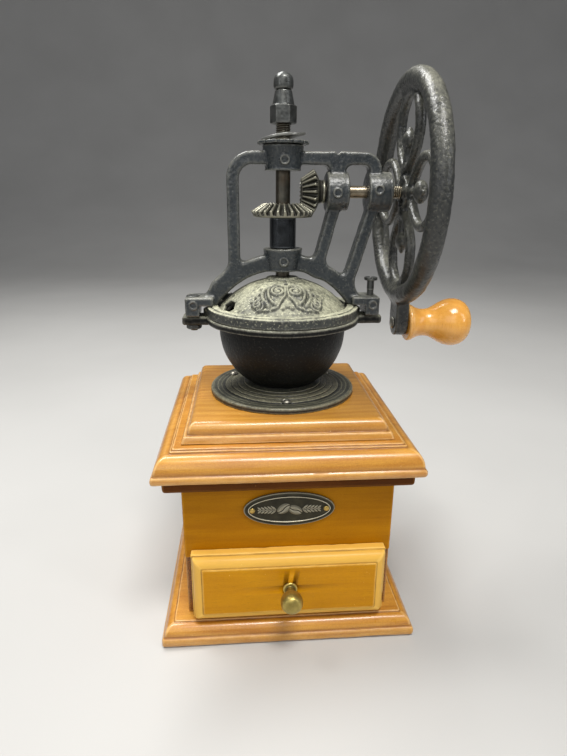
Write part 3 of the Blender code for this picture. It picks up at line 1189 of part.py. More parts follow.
def build_adjuster(axis, iron, steel):
    """Lock plate and split spring washer on the top boss, and the ball topped adjusting nut on the shaft."""
    bore = VERTICAL_RADIUS + RUNNING_GAP
    low = TOP_BOSS_TOP + SEAT_GAP
    high = low + LOCK_PLATE_THICKNESS
    plate = turned([(bore, low), (LOCK_PLATE_RADIUS, low), (LOCK_PLATE_RADIUS, high), (bore, high)],
                   ROUND_SEGMENTS, bored=True)
    plate = add_object("lock_plate", plate, iron)
    for i in range(LOCK_NOTCHES):
        notch = block((LOCK_PLATE_RADIUS - LOCK_NOTCH_DEPTH, -LOCK_NOTCH_WIDTH / 2, low - CUT_OVERRUN),
                      (LOCK_PLATE_RADIUS + CUT_OVERRUN, LOCK_NOTCH_WIDTH / 2, high + CUT_OVERRUN))
        turn = Matrix.Rotation(2 * math.pi * (i + 0.5) / LOCK_NOTCHES, 3, "Z")
        bmesh.ops.rotate(notch, verts=notch.verts, cent=(0, 0, 0), matrix=turn)
        combine(plate, tool_object(notch))

    bm = bmesh.new()
    rings = []
    steps = 28
    start = high + SEAT_GAP
    for i in range(steps + 1):
        share = i / steps
        angle = SPRING_SPLIT / 2 + (2 * math.pi - SPRING_SPLIT) * share
        height = start + SPRING_RISE * (1 + math.cos(angle)) / 2
        section = ((SPRING_INNER_RADIUS, height), (SPRING_RADIUS, height),
                   (SPRING_RADIUS, height + SPRING_THICKNESS),
                   (SPRING_INNER_RADIUS, height + SPRING_THICKNESS))
        rings.append([bm.verts.new((r * math.cos(angle), r * math.sin(angle), z)) for r, z in section])
    skin(bm, rings, False)
    bm.faces.new(rings[0])
    bm.faces.new(rings[-1])
    add_object("spring_washer", bm, steel)

    hex_top = NUT_BOTTOM + NUT_HEX_HEIGHT
    cone_top = hex_top + CONE_HEIGHT
    ball_middle = cone_top + BALL_HEIGHT / 2
    ball = arc((0, ball_middle), (BALL_RADIUS, BALL_HEIGHT / 2), math.radians(-48.0), math.pi / 2, 8)
    nut = add_object("adjusting_nut", hexagon(NUT_CORNER_RADIUS, NUT_BOTTOM, hex_top), steel, axis)
    crown = turned([(0, hex_top - SEAT_GAP), (CONE_LOW_RADIUS, hex_top - SEAT_GAP),
                    (CONE_LOW_RADIUS, hex_top), (CONE_TOP_RADIUS, cone_top), *ball[:-1],
                    (0, ball_middle + BALL_HEIGHT / 2)], SMALL_SEGMENTS)
    combine(nut, tool_object(crown), "UNION")
    hole = cylinder(bore, NUT_BOTTOM - CUT_OVERRUN, NUT_BOTTOM + NUT_BORE_DEPTH, SMALL_SEGMENTS)
    combine(nut, tool_object(hole))
    nut.rotation_euler.z = NUT_TURN


def loop_points(turn, steps=16):
    """Centre line of one petal of the wheel, as (y, z) from the hub, turned about it."""
    middle = (LOOP_INNER + LOOP_OUTER) / 2
    half = (LOOP_OUTER - LOOP_INNER) / 2
    points = []
    for i in range(steps):
        angle = 2 * math.pi * i / steps
        out = middle - half * math.cos(angle)
        wide = LOOP_HALF_WIDTH * math.sin(angle) * (1 - LOOP_TAPER_SHARE * math.cos(angle))
        points.append((wide * math.cos(turn) + out * math.sin(turn),
                       out * math.cos(turn) - wide * math.sin(turn)))
    return points


def build_wheel(iron, steel, dark_steel, wood):
    """Crank body: shaft, pinion, spoked wheel with its handle lug, wheel nut and handle pin."""
    axis = axis_empty("crank_axis", (0, 0, SHAFT_HEIGHT))
    bore = HORIZONTAL_RADIUS + RUNNING_GAP
    shaft = lay_along_x(cylinder(HORIZONTAL_RADIUS, HORIZONTAL_START, HORIZONTAL_END, ROUND_SEGMENTS))
    add_object("horizontal_shaft", shaft, steel, axis)

    radius, depth, _, small_depth = gear_sizes(PINION_TEETH, GEAR_TEETH)
    hub_end = depth + PINION_HUB_LENGTH
    body = [(PINION_HUB_RADIUS, depth), (PINION_HUB_RADIUS, hub_end), (bore, hub_end), (bore, small_depth)]
    pinion = bevel_gear(PINION_TEETH, GEAR_TEETH, math.pi / PINION_TEETH, body)
    spin = Matrix.Rotation(-math.pi / 2, 3, "Y")
    bmesh.ops.rotate(pinion, verts=pinion.verts, cent=(0, 0, 0), matrix=spin)
    add_object("pinion_gear", pinion, steel, axis)

    ring = arc((0, 0), (WHEEL_RING_RADIUS, WHEEL_RING_RADIUS), 0, 2 * math.pi, FINE_SEGMENTS)[:-1]
    wheel = add_object("crank_wheel", tube_loop(ring, RIM_TUBE_RADIUS, 8), iron, axis)
    wheel.location.x = WHEEL_X
    centre = (WHEEL_X, 0, SHAFT_HEIGHT)
    for i in range(WHEEL_LOOPS):
        turn = 2 * math.pi * i / WHEEL_LOOPS
        rotate = Matrix.Rotation(-turn, 3, "X")
        loop = tube_loop(loop_points(turn), LOOP_TUBE_RADIUS, 6)
        combine(wheel, tool_object(loop, centre), "UNION")
        bud_top = BUD_REACH + BUD_RADIUS
        profile = [(0, STEM_START), (STEM_RADIUS, STEM_START), (STEM_RADIUS, STEM_END)]
        profile += arc((0, BUD_REACH), (BUD_RADIUS, BUD_RADIUS), math.radians(-38.0), math.pi / 2, 4)[:-1]
        profile.append((0, bud_top))
        bud = turned(profile, 8)
        bmesh.ops.rotate(bud, verts=bud.verts, cent=(0, 0, 0), matrix=rotate)
        combine(wheel, tool_object(bud, centre), "UNION")
    hub_low = HUB_X - HUB_LENGTH / 2
    hub = lay_along_x(cylinder(HUB_RADIUS, hub_low, hub_low + HUB_LENGTH, ROUND_SEGMENTS))
    combine(wheel, tool_object(hub, (0, 0, SHAFT_HEIGHT)), "UNION")
    lug_plan = [(LUG_BOSS_RADIUS, -WHEEL_RING_RADIUS)]
    lug_plan += arc((0, -HANDLE_REACH), (LUG_BOSS_RADIUS, LUG_BOSS_RADIUS), 0, -math.pi, 8)
    lug_plan += [(-LUG_BOSS_RADIUS, -WHEEL_RING_RADIUS)]
    lug = prism([(z, y) for y, z in lug_plan], -LUG_BOSS_THICKNESS / 2, LUG_BOSS_THICKNESS / 2)
    swap = Matrix(((0, 0, 1), (0, 1, 0), (1, 0, 0)))
    bmesh.ops.transform(lug, verts=lug.verts, matrix=swap.to_4x4())
    lug_x = HANDLE_START - SEAT_GAP - LUG_BOSS_THICKNESS / 2
    combine(wheel, tool_object(lug, (lug_x, 0, SHAFT_HEIGHT)), "UNION")
    hole = lay_along_x(cylinder(bore, hub_low - CUT_OVERRUN, hub_low + HUB_LENGTH + CUT_OVERRUN,
                                ROUND_SEGMENTS))
    combine(wheel, tool_object(hole, (0, 0, SHAFT_HEIGHT)))
    hole = lay_along_x(narrow_cylinder(PIN_RADIUS + RUNNING_GAP, -RIM_TUBE_RADIUS * 2, RIM_TUBE_RADIUS * 2))
    combine(wheel, tool_object(hole, (WHEEL_X, 0, HANDLE_HEIGHT)))

    nut_low = hub_low + HUB_LENGTH + SEAT_GAP
    nut = lay_along_x(hexagon(WHEEL_NUT_RADIUS, nut_low, nut_low + WHEEL_NUT_HEIGHT))
    nut = add_object("wheel_nut", nut, dark_steel, axis)
    hole = lay_along_x(narrow_cylinder(bore, nut_low - CUT_OVERRUN, nut_low + WHEEL_NUT_HEIGHT + CUT_OVERRUN))
    combine(nut, tool_object(hole, (0, 0, SHAFT_HEIGHT)))

    head_seat = HANDLE_END - PIN_RECESS_DEPTH + SEAT_GAP
    rivet = HANDLE_START - SEAT_GAP - LUG_BOSS_THICKNESS - SEAT_GAP
    crown = arc((0, rivet), (PIN_RIVET_RADIUS, -PIN_RIVET_HEIGHT), math.pi / 2, 0, 3)
    pin = turned([(0, rivet - PIN_RIVET_HEIGHT), *crown[1:], (PIN_RADIUS, rivet), (PIN_RADIUS, head_seat),
                  (PIN_HEAD_RADIUS, head_seat), (PIN_HEAD_RADIUS, head_seat + PIN_HEAD_HEIGHT),
                  (0, head_seat + PIN_HEAD_HEIGHT)], COARSE_SEGMENTS)
    add_object("handle_pin", shift(lay_along_x(pin), (0, 0, -HANDLE_REACH)), steel, axis)

    knob_axis = axis_empty("handle_axis", (0, 0, -HANDLE_REACH), axis)
    collar = HANDLE_START + HANDLE_COLLAR_LENGTH
    hollow = PIN_RADIUS + RUNNING_GAP
    recess = PIN_HEAD_RADIUS + RUNNING_GAP
    edge = HANDLE_COLLAR_LENGTH / 3
    bulb = arc((HANDLE_BULB_X, 0), (HANDLE_END - HANDLE_BULB_X, HANDLE_BULB_RADIUS), math.radians(125.0),
               math.asin((recess + edge) / HANDLE_BULB_RADIUS), 9)
    outline = [(hollow, HANDLE_START), (HANDLE_COLLAR_RADIUS - edge, HANDLE_START),
               (HANDLE_COLLAR_RADIUS, HANDLE_START + edge), (HANDLE_COLLAR_RADIUS, collar)]
    outline += [(HANDLE_NECK_RADIUS + (HANDLE_COLLAR_RADIUS - HANDLE_NECK_RADIUS) * share ** 2,
                 collar + (HANDLE_NECK_X - collar) * (1 - share)) for share in (0.7, 0.35, 0.0)]
    outline += [(r, x) for x, r in bulb]
    outline += [(recess, HANDLE_END - edge), (recess, HANDLE_END - PIN_RECESS_DEPTH),
                (hollow, HANDLE_END - PIN_RECESS_DEPTH)]
    add_object("handle_knob", lay_along_x(turned(outline, ROUND_SEGMENTS, bored=True)), wood, knob_axis)


def build():
    remove_everything()
    wood = principled("stained_wood", (0.60, 0.30, 0.10), 0.45, 0.0)
    dark_wood = principled("fascia_wood", (0.42, 0.19, 0.05), 0.45, 0.0)
    front_wood = principled("drawer_front_wood", (0.66, 0.40, 0.12), 0.45, 0.0)
    pale_wood = principled("drawer_wood", (0.72, 0.55, 0.34), 0.6, 0.0)
    handle_wood = principled("varnished_wood", (0.80, 0.45, 0.13), 0.25, 0.0)
    iron = principled("black_iron", (0.035, 0.04, 0.045), 0.5, 0.3)
    steel = principled("worn_steel", (0.35, 0.32, 0.28), 0.45, 1.0)
    dark_steel = principled("dark_steel", (0.12, 0.12, 0.13), 0.4, 0.9)
    plate_metal = principled("antique_plate", (0.16, 0.15, 0.14), 0.45, 0.9)
    brass = principled("aged_brass", (0.42, 0.34, 0.16), 0.45, 1.0)

    build_base(wood)
    build_box(wood, dark_wood)
    build_lid(wood)
    build_drawer(front_wood, pale_wood, brass, steel)
    build_plate(plate_metal, brass)
    build_hopper(iron, steel)
    build_outer_burr(dark_steel)
    build_dome(iron, steel)
    build_hatch(iron)
    build_frame(iron)
    build_foot_bolts(steel)
    axis = build_grind_train(iron, steel, dark_steel)
    build_adjuster(axis, iron, steel)
    build_wheel(iron, steel, dark_steel, handle_wood)


build()
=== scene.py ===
import math

import bpy
import numpy as np
from mathutils import Matrix, Vector, noise


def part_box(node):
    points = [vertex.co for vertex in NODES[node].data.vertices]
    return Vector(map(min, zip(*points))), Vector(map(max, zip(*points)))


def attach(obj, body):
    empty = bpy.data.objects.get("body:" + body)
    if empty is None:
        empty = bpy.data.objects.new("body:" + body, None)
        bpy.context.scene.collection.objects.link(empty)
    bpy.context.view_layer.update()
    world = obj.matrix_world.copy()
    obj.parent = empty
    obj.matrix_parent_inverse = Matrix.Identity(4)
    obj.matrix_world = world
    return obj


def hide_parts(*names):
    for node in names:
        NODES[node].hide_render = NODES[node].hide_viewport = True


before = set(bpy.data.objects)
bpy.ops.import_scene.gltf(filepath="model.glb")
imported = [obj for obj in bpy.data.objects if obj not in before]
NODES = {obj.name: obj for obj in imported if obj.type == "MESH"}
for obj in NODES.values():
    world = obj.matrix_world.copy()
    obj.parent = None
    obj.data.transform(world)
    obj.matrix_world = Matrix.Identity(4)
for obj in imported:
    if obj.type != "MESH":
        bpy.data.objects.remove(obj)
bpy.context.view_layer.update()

# All shapes below are worked out in millimetres in the row frame and scaled when a mesh is made.
MM = 0.001


# Meshes

def make_mesh(name, verts, faces, layers=None):
    mesh = bpy.data.meshes.new(name)
    mesh.from_pydata((np.asarray(verts, float) * MM).tolist(), [], [list(f) for f in faces])
    mesh.update()
    mesh.polygons.foreach_set("use_smooth", [True] * len(mesh.polygons))
    for key, values in (layers or {}).items():
        layer = mesh.attributes.new(key, "FLOAT", "POINT")
        layer.data.foreach_set("value", np.asarray(values, np.float32))
    return mesh


def piece(name, mesh, body, material, stands_for=()):
    made = bpy.data.objects.new(name, mesh)
    bpy.context.scene.collection.objects.link(made)
    if material:
        mesh.materials.append(material)
    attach(made, body)
    if stands_for:
        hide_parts(*([stands_for] if isinstance(stands_for, str) else stands_for))
    return made


def soften(points, radius, steps=3, closed=False, least=14.0, fade=0.7, convex=-1):
    """Rounds the corners of a 2D outline. Marks each point: 1 on an arris, -1 in a crease, 0 elsewhere."""
    out, marks = [], []
    n = len(points)
    for i, p in enumerate(points):
        p = np.array(p, float)
        if not closed and i in (0, n - 1):
            out.append(p)
            marks.append(0.0)
            continue
        a = np.array(points[i - 1], float) - p
        b = np.array(points[(i + 1) % n], float) - p
        la, lb = np.linalg.norm(a), np.linalg.norm(b)
        turn = math.degrees(math.acos(max(-1, min(1, -(a @ b) / (la * lb)))))
        if turn < least:
            out.append(p)
            marks.append(0.0)
            continue
        cut = min(radius, la * 0.42, lb * 0.42)
        cross = a[1] * b[0] - a[0] * b[1]
        strength = (1.0 if cross * convex > 0 else -1.0) * min(1.0, turn / 60.0)
        start, end = p + a / la * cut, p + b / lb * cut
        if la > 2.6 * (cut + fade):
            out.append(p + a / la * (cut + fade))
            marks.append(0.0)
        for s in range(steps + 1):
            t = s / steps
            out.append((1 - t) ** 2 * start + 2 * t * (1 - t) * p + t * t * end)
            marks.append(strength)
        if lb > 2.6 * (cut + fade):
            out.append(p + b / lb * (cut + fade))
            marks.append(0.0)
    return np.array(out), np.array(marks)


def soft_turned(points, radius, segments, axis="Z", centre=(0, 0, 0), steps=3, least=14.0, fade=0.7,
                ripple=None):
    """A turned piece with its corners rounded, as (verts, faces, marks)."""
    p = np.array(points, float)
    q = np.roll(p, -1, 0)
    area = (p[:, 0] * q[:, 1] - q[:, 0] * p[:, 1]).sum()
    if area < 0:
        p = p[::-1]
    ring = p[0][0] > 1e-6
    outline, marks = soften(p, radius, steps, ring, least, fade, 1)
    return revolve(outline, segments, axis, centre, marks, ripple)


def arc(cx, cy, rx, ry, start, end, steps):
    """Angles in degrees."""
    return [(cx + rx * math.cos(math.radians(start + (end - start) * s / steps)),
             cy + ry * math.sin(math.radians(start + (end - start) * s / steps))) for s in range(steps + 1)]


def revolve(outline, segments, axis="Z", centre=(0, 0, 0), marks=None, ripple=None):
    """Closed or axis-to-axis outline of (radius, height), turned about an axis through centre."""
    outline = [tuple(p) for p in outline]
    closed = outline[0][0] > 1e-6 or outline[-1][0] > 1e-6
    verts, rows, layer = [], [], []
    for i, (r, h) in enumerate(outline):
        row = []
        if r <= 1e-6:
            row = [len(verts)]
            verts.append((0, 0, h))
            layer.append(0 if marks is None else marks[i])
        else:
            for s in range(segments):
                a = 2 * math.pi * s / segments
                rr, hh = (r, h) if ripple is None else ripple(r, h, a)
                row.append(len(verts))
                verts.append((rr * math.cos(a), rr * math.sin(a), hh))
                layer.append(0 if marks is None else marks[i])
        rows.append(row)
    faces = []
    pairs = list(zip(rows, rows[1:])) + ([(rows[-1], rows[0])] if closed else [])
    for low, high in pairs:
        for s in range(segments):
            t = (s + 1) % segments
            face = [low[s % len(low)], low[t % len(low)], high[t % len(high)], high[s % len(high)]]
            face = [v for k, v in enumerate(face) if v not in face[:k]]
            if len(face) > 2:
                faces.append(face)
    verts = np.array(verts, float)
    if axis == "X":
        verts = np.stack([verts[:, 2], verts[:, 1], -verts[:, 0]], 1)
    elif axis == "-Y":
        verts = np.stack([verts[:, 0], -verts[:, 2], verts[:, 1]], 1)
    return verts + np.array(centre, float), faces, np.array(layer)


def wear_layers(marks):
    marks = np.asarray(marks)
    return {"wear": np.maximum(marks, 0), "crease": np.maximum(-marks, 0)}


def join_parts(parts):
    """Puts several (verts, faces, marks) together as one."""
    verts, faces, marks, base = [], [], [], 0
    for v, f, m in parts:
        verts.append(np.asarray(v, float))
        faces += [[i + base for i in face] for face in f]
        marks.append(np.zeros(len(v)) if m is None else np.asarray(m, float))
        base += len(v)
    return np.concatenate(verts), faces, np.concatenate(marks)


def ripple_verts(verts, size, scale, seed=0.0):
    """Moves each vertex by smooth noise, for boards and castings that aren't perfectly true."""
    out = np.array(verts, float)
    for i, p in enumerate(out):
        out[i] += np.array(noise.noise_vector(Vector(p * scale) + Vector((seed, seed * 2, -seed)))) * size
    return out


# Shapes from distance fields

class Field:
    """A block of samples. Distances are in millimetres, negative inside."""

    def __init__(self, low, high, cell):
        self.low, self.cell = np.array(low, float), cell
        axes = [np.arange(a, b + cell, cell, dtype=np.float32) for a, b in zip(low, high)]
        self.x, self.y, self.z = np.meshgrid(*axes, indexing="ij", sparse=True)
        self.shape = tuple(len(a) for a in axes)

    def mesh(self, d):
        d = np.broadcast_to(d, self.shape).astype(np.float32)
        return surface_net(d, self.low, self.cell)


def surface_net(d, low, cell):
    inside = d < 0
    n = d.shape
    corners = [(i, j, k) for i in (0, 1) for j in (0, 1) for k in (0, 1)]

    def part(a, c):
        return a[c[0]:n[0] - 1 + c[0], c[1]:n[1] - 1 + c[1], c[2]:n[2] - 1 + c[2]]

    count = np.zeros([m - 1 for m in n], np.uint8)
    for c in corners:
        count += part(inside, c)
    active = (count > 0) & (count < 8)
    places = np.argwhere(active)
    ids = np.full(active.shape, -1, np.int64)
    ids[active] = np.arange(len(places))
    values = {c: part(d, c)[active] for c in corners}
    total = np.zeros((len(places), 3))
    hits = np.zeros(len(places))
    for a in corners:
        for axis in range(3):
            if a[axis]:
                continue
            b = tuple(1 if k == axis else a[k] for k in range(3))
            va, vb = values[a], values[b]
            cross = (va < 0) != (vb < 0)
            t = va[cross] / (va[cross] - vb[cross])
            point = np.tile(np.array(a, float), (len(t), 1))
            point[:, axis] = t
            total[cross] += point
            hits[cross] += 1
    verts = low + cell * (places + total / hits[:, None])
    quads = []
    for axis in range(3):
        u, v = (axis + 1) % 3, (axis + 2) % 3
        first = np.take(inside, range(n[axis] - 1), axis)
        second = np.take(inside, range(1, n[axis]), axis)
        edge = np.argwhere(first != second)
        edge = edge[(edge[:, u] > 0) & (edge[:, u] < n[u] - 1) & (edge[:, v] > 0) & (edge[:, v] < n[v] - 1)]
        outward = first[tuple(edge.T)]
        cells = []
        for du, dv in ((-1, -1), (0, -1), (0, 0), (-1, 0)):
            c = edge.copy()
            c[:, u] += du
            c[:, v] += dv
            cells.append(ids[tuple(c.T)])
        quad = np.stack(cells, 1)
        quad[~outward] = quad[~outward][:, ::-1]
        quads.append(quad)
    return verts, np.concatenate(quads)


def smin(a, b, k):
    h = np.maximum(k - np.abs(a - b), 0) / k
    return np.minimum(a, b) - h * h * k * 0.25


def smax(a, b, k):
    return -smin(-a, -b, k)


def path2(u, v, points):
    """Distance to a broken line in a plane."""
    best = None
    for (ax, ay), (bx, by) in zip(points, points[1:]):
        dx, dy = bx - ax, by - ay
        length = dx * dx + dy * dy + 1e-9
        t = np.clip(((u - ax) * dx + (v - ay) * dy) / length, 0, 1)
        d = (u - ax - t * dx) ** 2 + (v - ay - t * dy) ** 2
        best = d if best is None else np.minimum(best, d)
    return np.sqrt(best)


def extrude(d2, w, half, r):
    """A plane shape given depth: w is the coordinate across the plane, r rounds the edges."""
    qx, qy = d2 + r, np.abs(w) - half + r
    return np.minimum(np.maximum(qx, qy), 0) + np.sqrt(np.maximum(qx, 0) ** 2 + np.maximum(qy, 0) ** 2) - r


def drum(rho, h, radius, low, high, r):
    return extrude(rho - radius, h - (low + high) / 2, (high - low) / 2, r)


def box_field(x, y, z, low, high, r):
    q = [np.abs(c - (a + b) / 2) - (b - a) / 2 + r for c, a, b in zip((x, y, z), low, high)]
    outside = np.sqrt(np.maximum(q[0], 0) ** 2 + np.maximum(q[1], 0) ** 2 + np.maximum(q[2], 0) ** 2)
    return np.minimum(np.maximum(np.maximum(q[0], q[1]), q[2]), 0) + outside - r


def hexagon2(u, v, corner, turn=0.0):
    """Signed distance to a hexagon whose corners lie at the given radius, rounded a little."""
    flat = corner * math.cos(math.pi / 6)
    c, s = math.cos(turn), math.sin(turn)
    a, b = u * c + v * s, -u * s + v * c
    best = np.abs(b)
    for angle in (60, -60):
        ca, sa = math.cos(math.radians(angle)), math.sin(math.radians(angle))
        best = smax(best, np.abs(-a * sa + b * ca), 0.5)
    return best - flat


def lumps(x, y, z, size, seed):
    """Smooth noise between -1 and 1 from a seeded lattice, for the skin of a sand casting."""
    rng = np.random.RandomState(seed)
    table = rng.uniform(-1, 1, (32, 32, 32)).astype(np.float32)
    c = [np.broadcast_to(a / size, np.broadcast(x, y, z).shape) for a in (x, y, z)]
    base = [np.floor(a).astype(np.int32) for a in c]
    f = [a - b for a, b in zip(c, base)]
    f = [a * a * (3 - 2 * a) for a in f]
    out = 0
    for i in (0, 1):
        for j in (0, 1):
            for k in (0, 1):
                w = (f[0] if i else 1 - f[0]) * (f[1] if j else 1 - f[1]) * (f[2] if k else 1 - f[2])
                out = out + w * table[(base[0] + i) % 32, (base[1] + j) % 32, (base[2] + k) % 32]
    return out


def curvature_layers(verts, faces, reach=6, gain=1.0):
    """Marks worn ridges and hollows from how far each vertex stands off its neighbours: dirt in the hollows
    of bare metal, painted shade in the hollows of the iron.
    """
    faces = np.asarray(faces)
    edges = np.concatenate([faces[:, [0, 1]], faces[:, [1, 2]], faces[:, [2, 3]], faces[:, [3, 0]]])
    n = len(verts)
    p = verts.copy()
    degree = np.bincount(edges.ravel(), minlength=n).astype(float)[:, None]
    for _ in range(reach):
        q = np.zeros_like(p)
        for k in range(3):
            q[:, k] = np.bincount(edges[:, 0], p[edges[:, 1], k], n) + np.bincount(edges[:, 1],
                                                                                   p[edges[:, 0], k], n)
        p = 0.5 * p + 0.5 * q / degree
    cross = np.cross(verts[faces[:, 2]] - verts[faces[:, 0]], verts[faces[:, 3]] - verts[faces[:, 1]])
    normal = np.zeros_like(verts)
    for k in range(3):
        for c in range(4):
            normal[:, k] += np.bincount(faces[:, c], cross[:, k], n)
    normal /= np.linalg.norm(normal, axis=1)[:, None] + 1e-12
    off = ((verts - p) * normal).sum(1) * gain
    return {"wear": np.clip(off, 0, 1), "crease": np.clip(-off, 0, 1)}


# Materials

class Tree:
    """Short calls for building a node material."""

    def __init__(self, name):
        self.material = bpy.data.materials.new(name)
        self.material.use_nodes = True
        self.tree = self.material.node_tree
        self.tree.nodes.clear()
        self.place = self.put("TexCoord").outputs["Object"]
        self.normal = self.put("NewGeometry").outputs["Normal"]

    def put(self, kind, inputs=None, **settings):
        made = self.tree.nodes.new("ShaderNode" + kind)
        for key, value in settings.items():
            setattr(made, key, value)
        for key, value in (inputs or {}).items():
            self.feed(made.inputs[key], value)
        return made

    def feed(self, socket, value):
        if isinstance(value, bpy.types.NodeSocket):
            self.tree.links.new(value, socket)
        else:
            socket.default_value = value

    def maths(self, kind, a, b=0.0, clamp=False):
        return self.put("Math", {0: a, 1: b}, operation=kind, use_clamp=clamp).outputs[0]

    def stretch(self, scale, shift=(0, 0, 0), turn=(0, 0, 0)):
        return self.put("Mapping", {"Vector": self.place, "Scale": scale, "Location": shift,
                                    "Rotation": turn}).outputs[0]

    def noise(self, scale, detail=3.0, rough=0.5, distort=0.0, where=None):
        """Scale is features per metre, one number or one for each axis."""
        if isinstance(scale, (int, float)):
            where = where or self.place
            size = float(scale)
        else:
            where = self.stretch(scale)
            size = 1.0
        return self.put("TexNoise", {"Vector": where, "Scale": size, "Detail": detail, "Roughness": rough,
                                     "Distortion": distort}).outputs["Fac"]

    def span(self, value, low, high, to_low=0.0, to_high=1.0):
        return self.put("MapRange", {"Value": value, "From Min": low, "From Max": high, "To Min": to_low,
                                     "To Max": to_high}, clamp=True).outputs[0]

    def mix(self, factor, a, b, kind="MIX"):
        made = self.put("Mix", data_type="RGBA", blend_type=kind)
        for index, value in ((0, factor), (6, a), (7, b)):
            self.feed(made.inputs[index], value)
        return made.outputs[2]

    def layer(self, name):
        return self.put("Attribute", attribute_name=name).outputs["Fac"]

    def up(self):
        return self.put("SeparateXYZ", {0: self.normal}).outputs

    def bump(self, height, distance, strength=1.0, under=None):
        made = self.put("Bump", {"Height": height, "Distance": distance, "Strength": strength})
        if under is not None:
            self.feed(made.inputs["Normal"], under)
        return made.outputs[0]

    def finish(self, colour, roughness, normal=None, metallic=0.0, **plain):
        shader = self.put("BsdfPrincipled")
        self.feed(shader.inputs["Base Color"], colour)
        self.feed(shader.inputs["Roughness"], roughness)
        self.feed(shader.inputs["Metallic"], metallic)
        for key, value in plain.items():
            shader.inputs[key.replace("_", " ")].default_value = value
        if normal is not None:
            self.feed(shader.inputs["Normal"], normal)
        self.feed(self.put("OutputMaterial").inputs["Surface"], shader.outputs[0])
        return self.material


def rgb(r, g, b):
    """A colour given as it looks on a screen, 0 to 255, turned into light values."""
    def light(c):
        c /= 255.0
        return c / 12.92 if c <= 0.04045 else ((c + 0.055) / 1.055) ** 2.4
    return (light(r), light(g), light(b), 1.0)


def wood(name, light, dark, pale, deep, along="x", gloss=0.36, end_grain=0.5, streak=1.0, seed=0.0,
         shine=0.5, lacquer=0.25, bare=None):
    """Stained, lacquered wood. The rings run along one axis, so the ends show end grain."""
    t = Tree(name)
    k = {"x": (1, 0, 0), "y": (0, 1, 0), "z": (0, 0, 1)}[along]

    def axes(length, across):
        return tuple(length if i else across for i in k)

    place = t.stretch((1, 1, 1), shift=(seed, seed * 1.7, -seed))
    t.place = place
    sway = t.noise(axes(7, 26), 2.0, 0.5)
    parts = t.put("SeparateXYZ", {0: place}).outputs
    first, second = [parts[i] for i in range(3) if not k[i]]
    off_a = t.maths("ADD", first, 0.031)
    off_b = t.maths("ADD", second, 0.173)
    radius = t.maths("SQRT", t.maths("ADD", t.maths("MULTIPLY", off_a, off_a),
                                     t.maths("MULTIPLY", off_b, off_b)))
    radius = t.maths("ADD", radius, t.maths("MULTIPLY", sway, 0.03))
    rings = t.maths("MULTIPLY_ADD", t.maths("SINE", t.maths("MULTIPLY", radius, 2 * math.pi / 0.0062)), 0.5)
    t.feed(rings.node.inputs[2], 0.5)
    streaks = t.noise(axes(14, 330), 5.0, 0.6, 0.2)
    fine = t.noise(axes(55, 1500), 4.0, 0.65)
    pores = t.span(t.noise(axes(190, 3600), 2.0, 0.5), 0.63, 0.72)
    blotch = t.noise(24, 3.0, 0.55)
    tone = t.maths("ADD", t.maths("MULTIPLY", rings, 0.30 * streak), t.maths("MULTIPLY", streaks, 0.75))
    tone = t.maths("ADD", tone, t.maths("MULTIPLY", fine, 0.35 * streak))
    tone = t.maths("ADD", tone, t.maths("MULTIPLY", blotch, 0.45))
    tone = t.maths("ADD", tone, t.maths("MULTIPLY", t.maths("SUBTRACT", t.noise(1100, 2.0, 0.6), 0.5), 0.5))
    tone = t.span(tone, 0.55, 1.25)
    colour = t.mix(tone, dark, light)
    colour = t.mix(t.maths("MULTIPLY", pores, 0.35), colour, deep)
    facing = t.put("SeparateXYZ", {0: t.normal}).outputs[k.index(1)]
    ends = t.span(t.maths("ABSOLUTE", facing), 0.55, 0.95)
    dots = t.span(t.noise(axes(120, 1700), 3.0, 0.6), 0.35, 0.7)
    end_tone = t.mix(dots, deep, dark)
    colour = t.mix(t.maths("MULTIPLY", ends, end_grain), colour, end_tone)
    if bare:
        depth = t.put("SeparateXYZ", {0: t.put("TexCoord").outputs["Object"]}).outputs[1]
        colour = t.mix(t.span(depth, -0.0786, -0.0782, 0.0, 0.62), colour, bare)
    patch = t.span(t.noise(150, 3.0, 0.6), 0.32, 0.62)
    worn = t.maths("MULTIPLY", t.layer("wear"), t.span(patch, 0.0, 1.0, 0.35, 1.0))
    colour = t.mix(t.maths("MULTIPLY", worn, 0.45), colour, pale)
    dirt = t.maths("MULTIPLY", t.layer("crease"), t.span(t.noise(90, 3.0, 0.6), 0.25, 0.6, 0.45, 1.0))
    colour = t.mix(t.maths("MULTIPLY", dirt, 0.6), colour, deep)
    specks = t.span(t.noise(700, 1.0, 0.4), 0.80, 0.82)
    colour = t.mix(t.maths("MULTIPLY", specks, 0.45), colour, pale)
    rough = t.span(t.noise(70, 4.0, 0.6), 0.3, 0.7, gloss - 0.05, gloss + 0.1)
    rough = t.maths("ADD", rough, t.maths("MULTIPLY", worn, 0.12))
    height = t.maths("ADD", t.maths("MULTIPLY", fine, 0.5), t.maths("MULTIPLY", streaks, 0.9))
    normal = t.bump(height, 0.00009, 0.7)
    normal = t.bump(pores, 0.00006, -0.6, normal)
    normal = t.bump(t.noise(60, 2.0, 0.5), 0.0006, 0.25, normal)
    normal = t.bump(t.noise(1300, 2.0, 0.5), 0.00006, 0.7, normal)
    return t.finish(colour, rough, normal, Specular_IOR_Level=shine, Coat_Weight=lacquer,
                    Coat_Roughness=0.2)


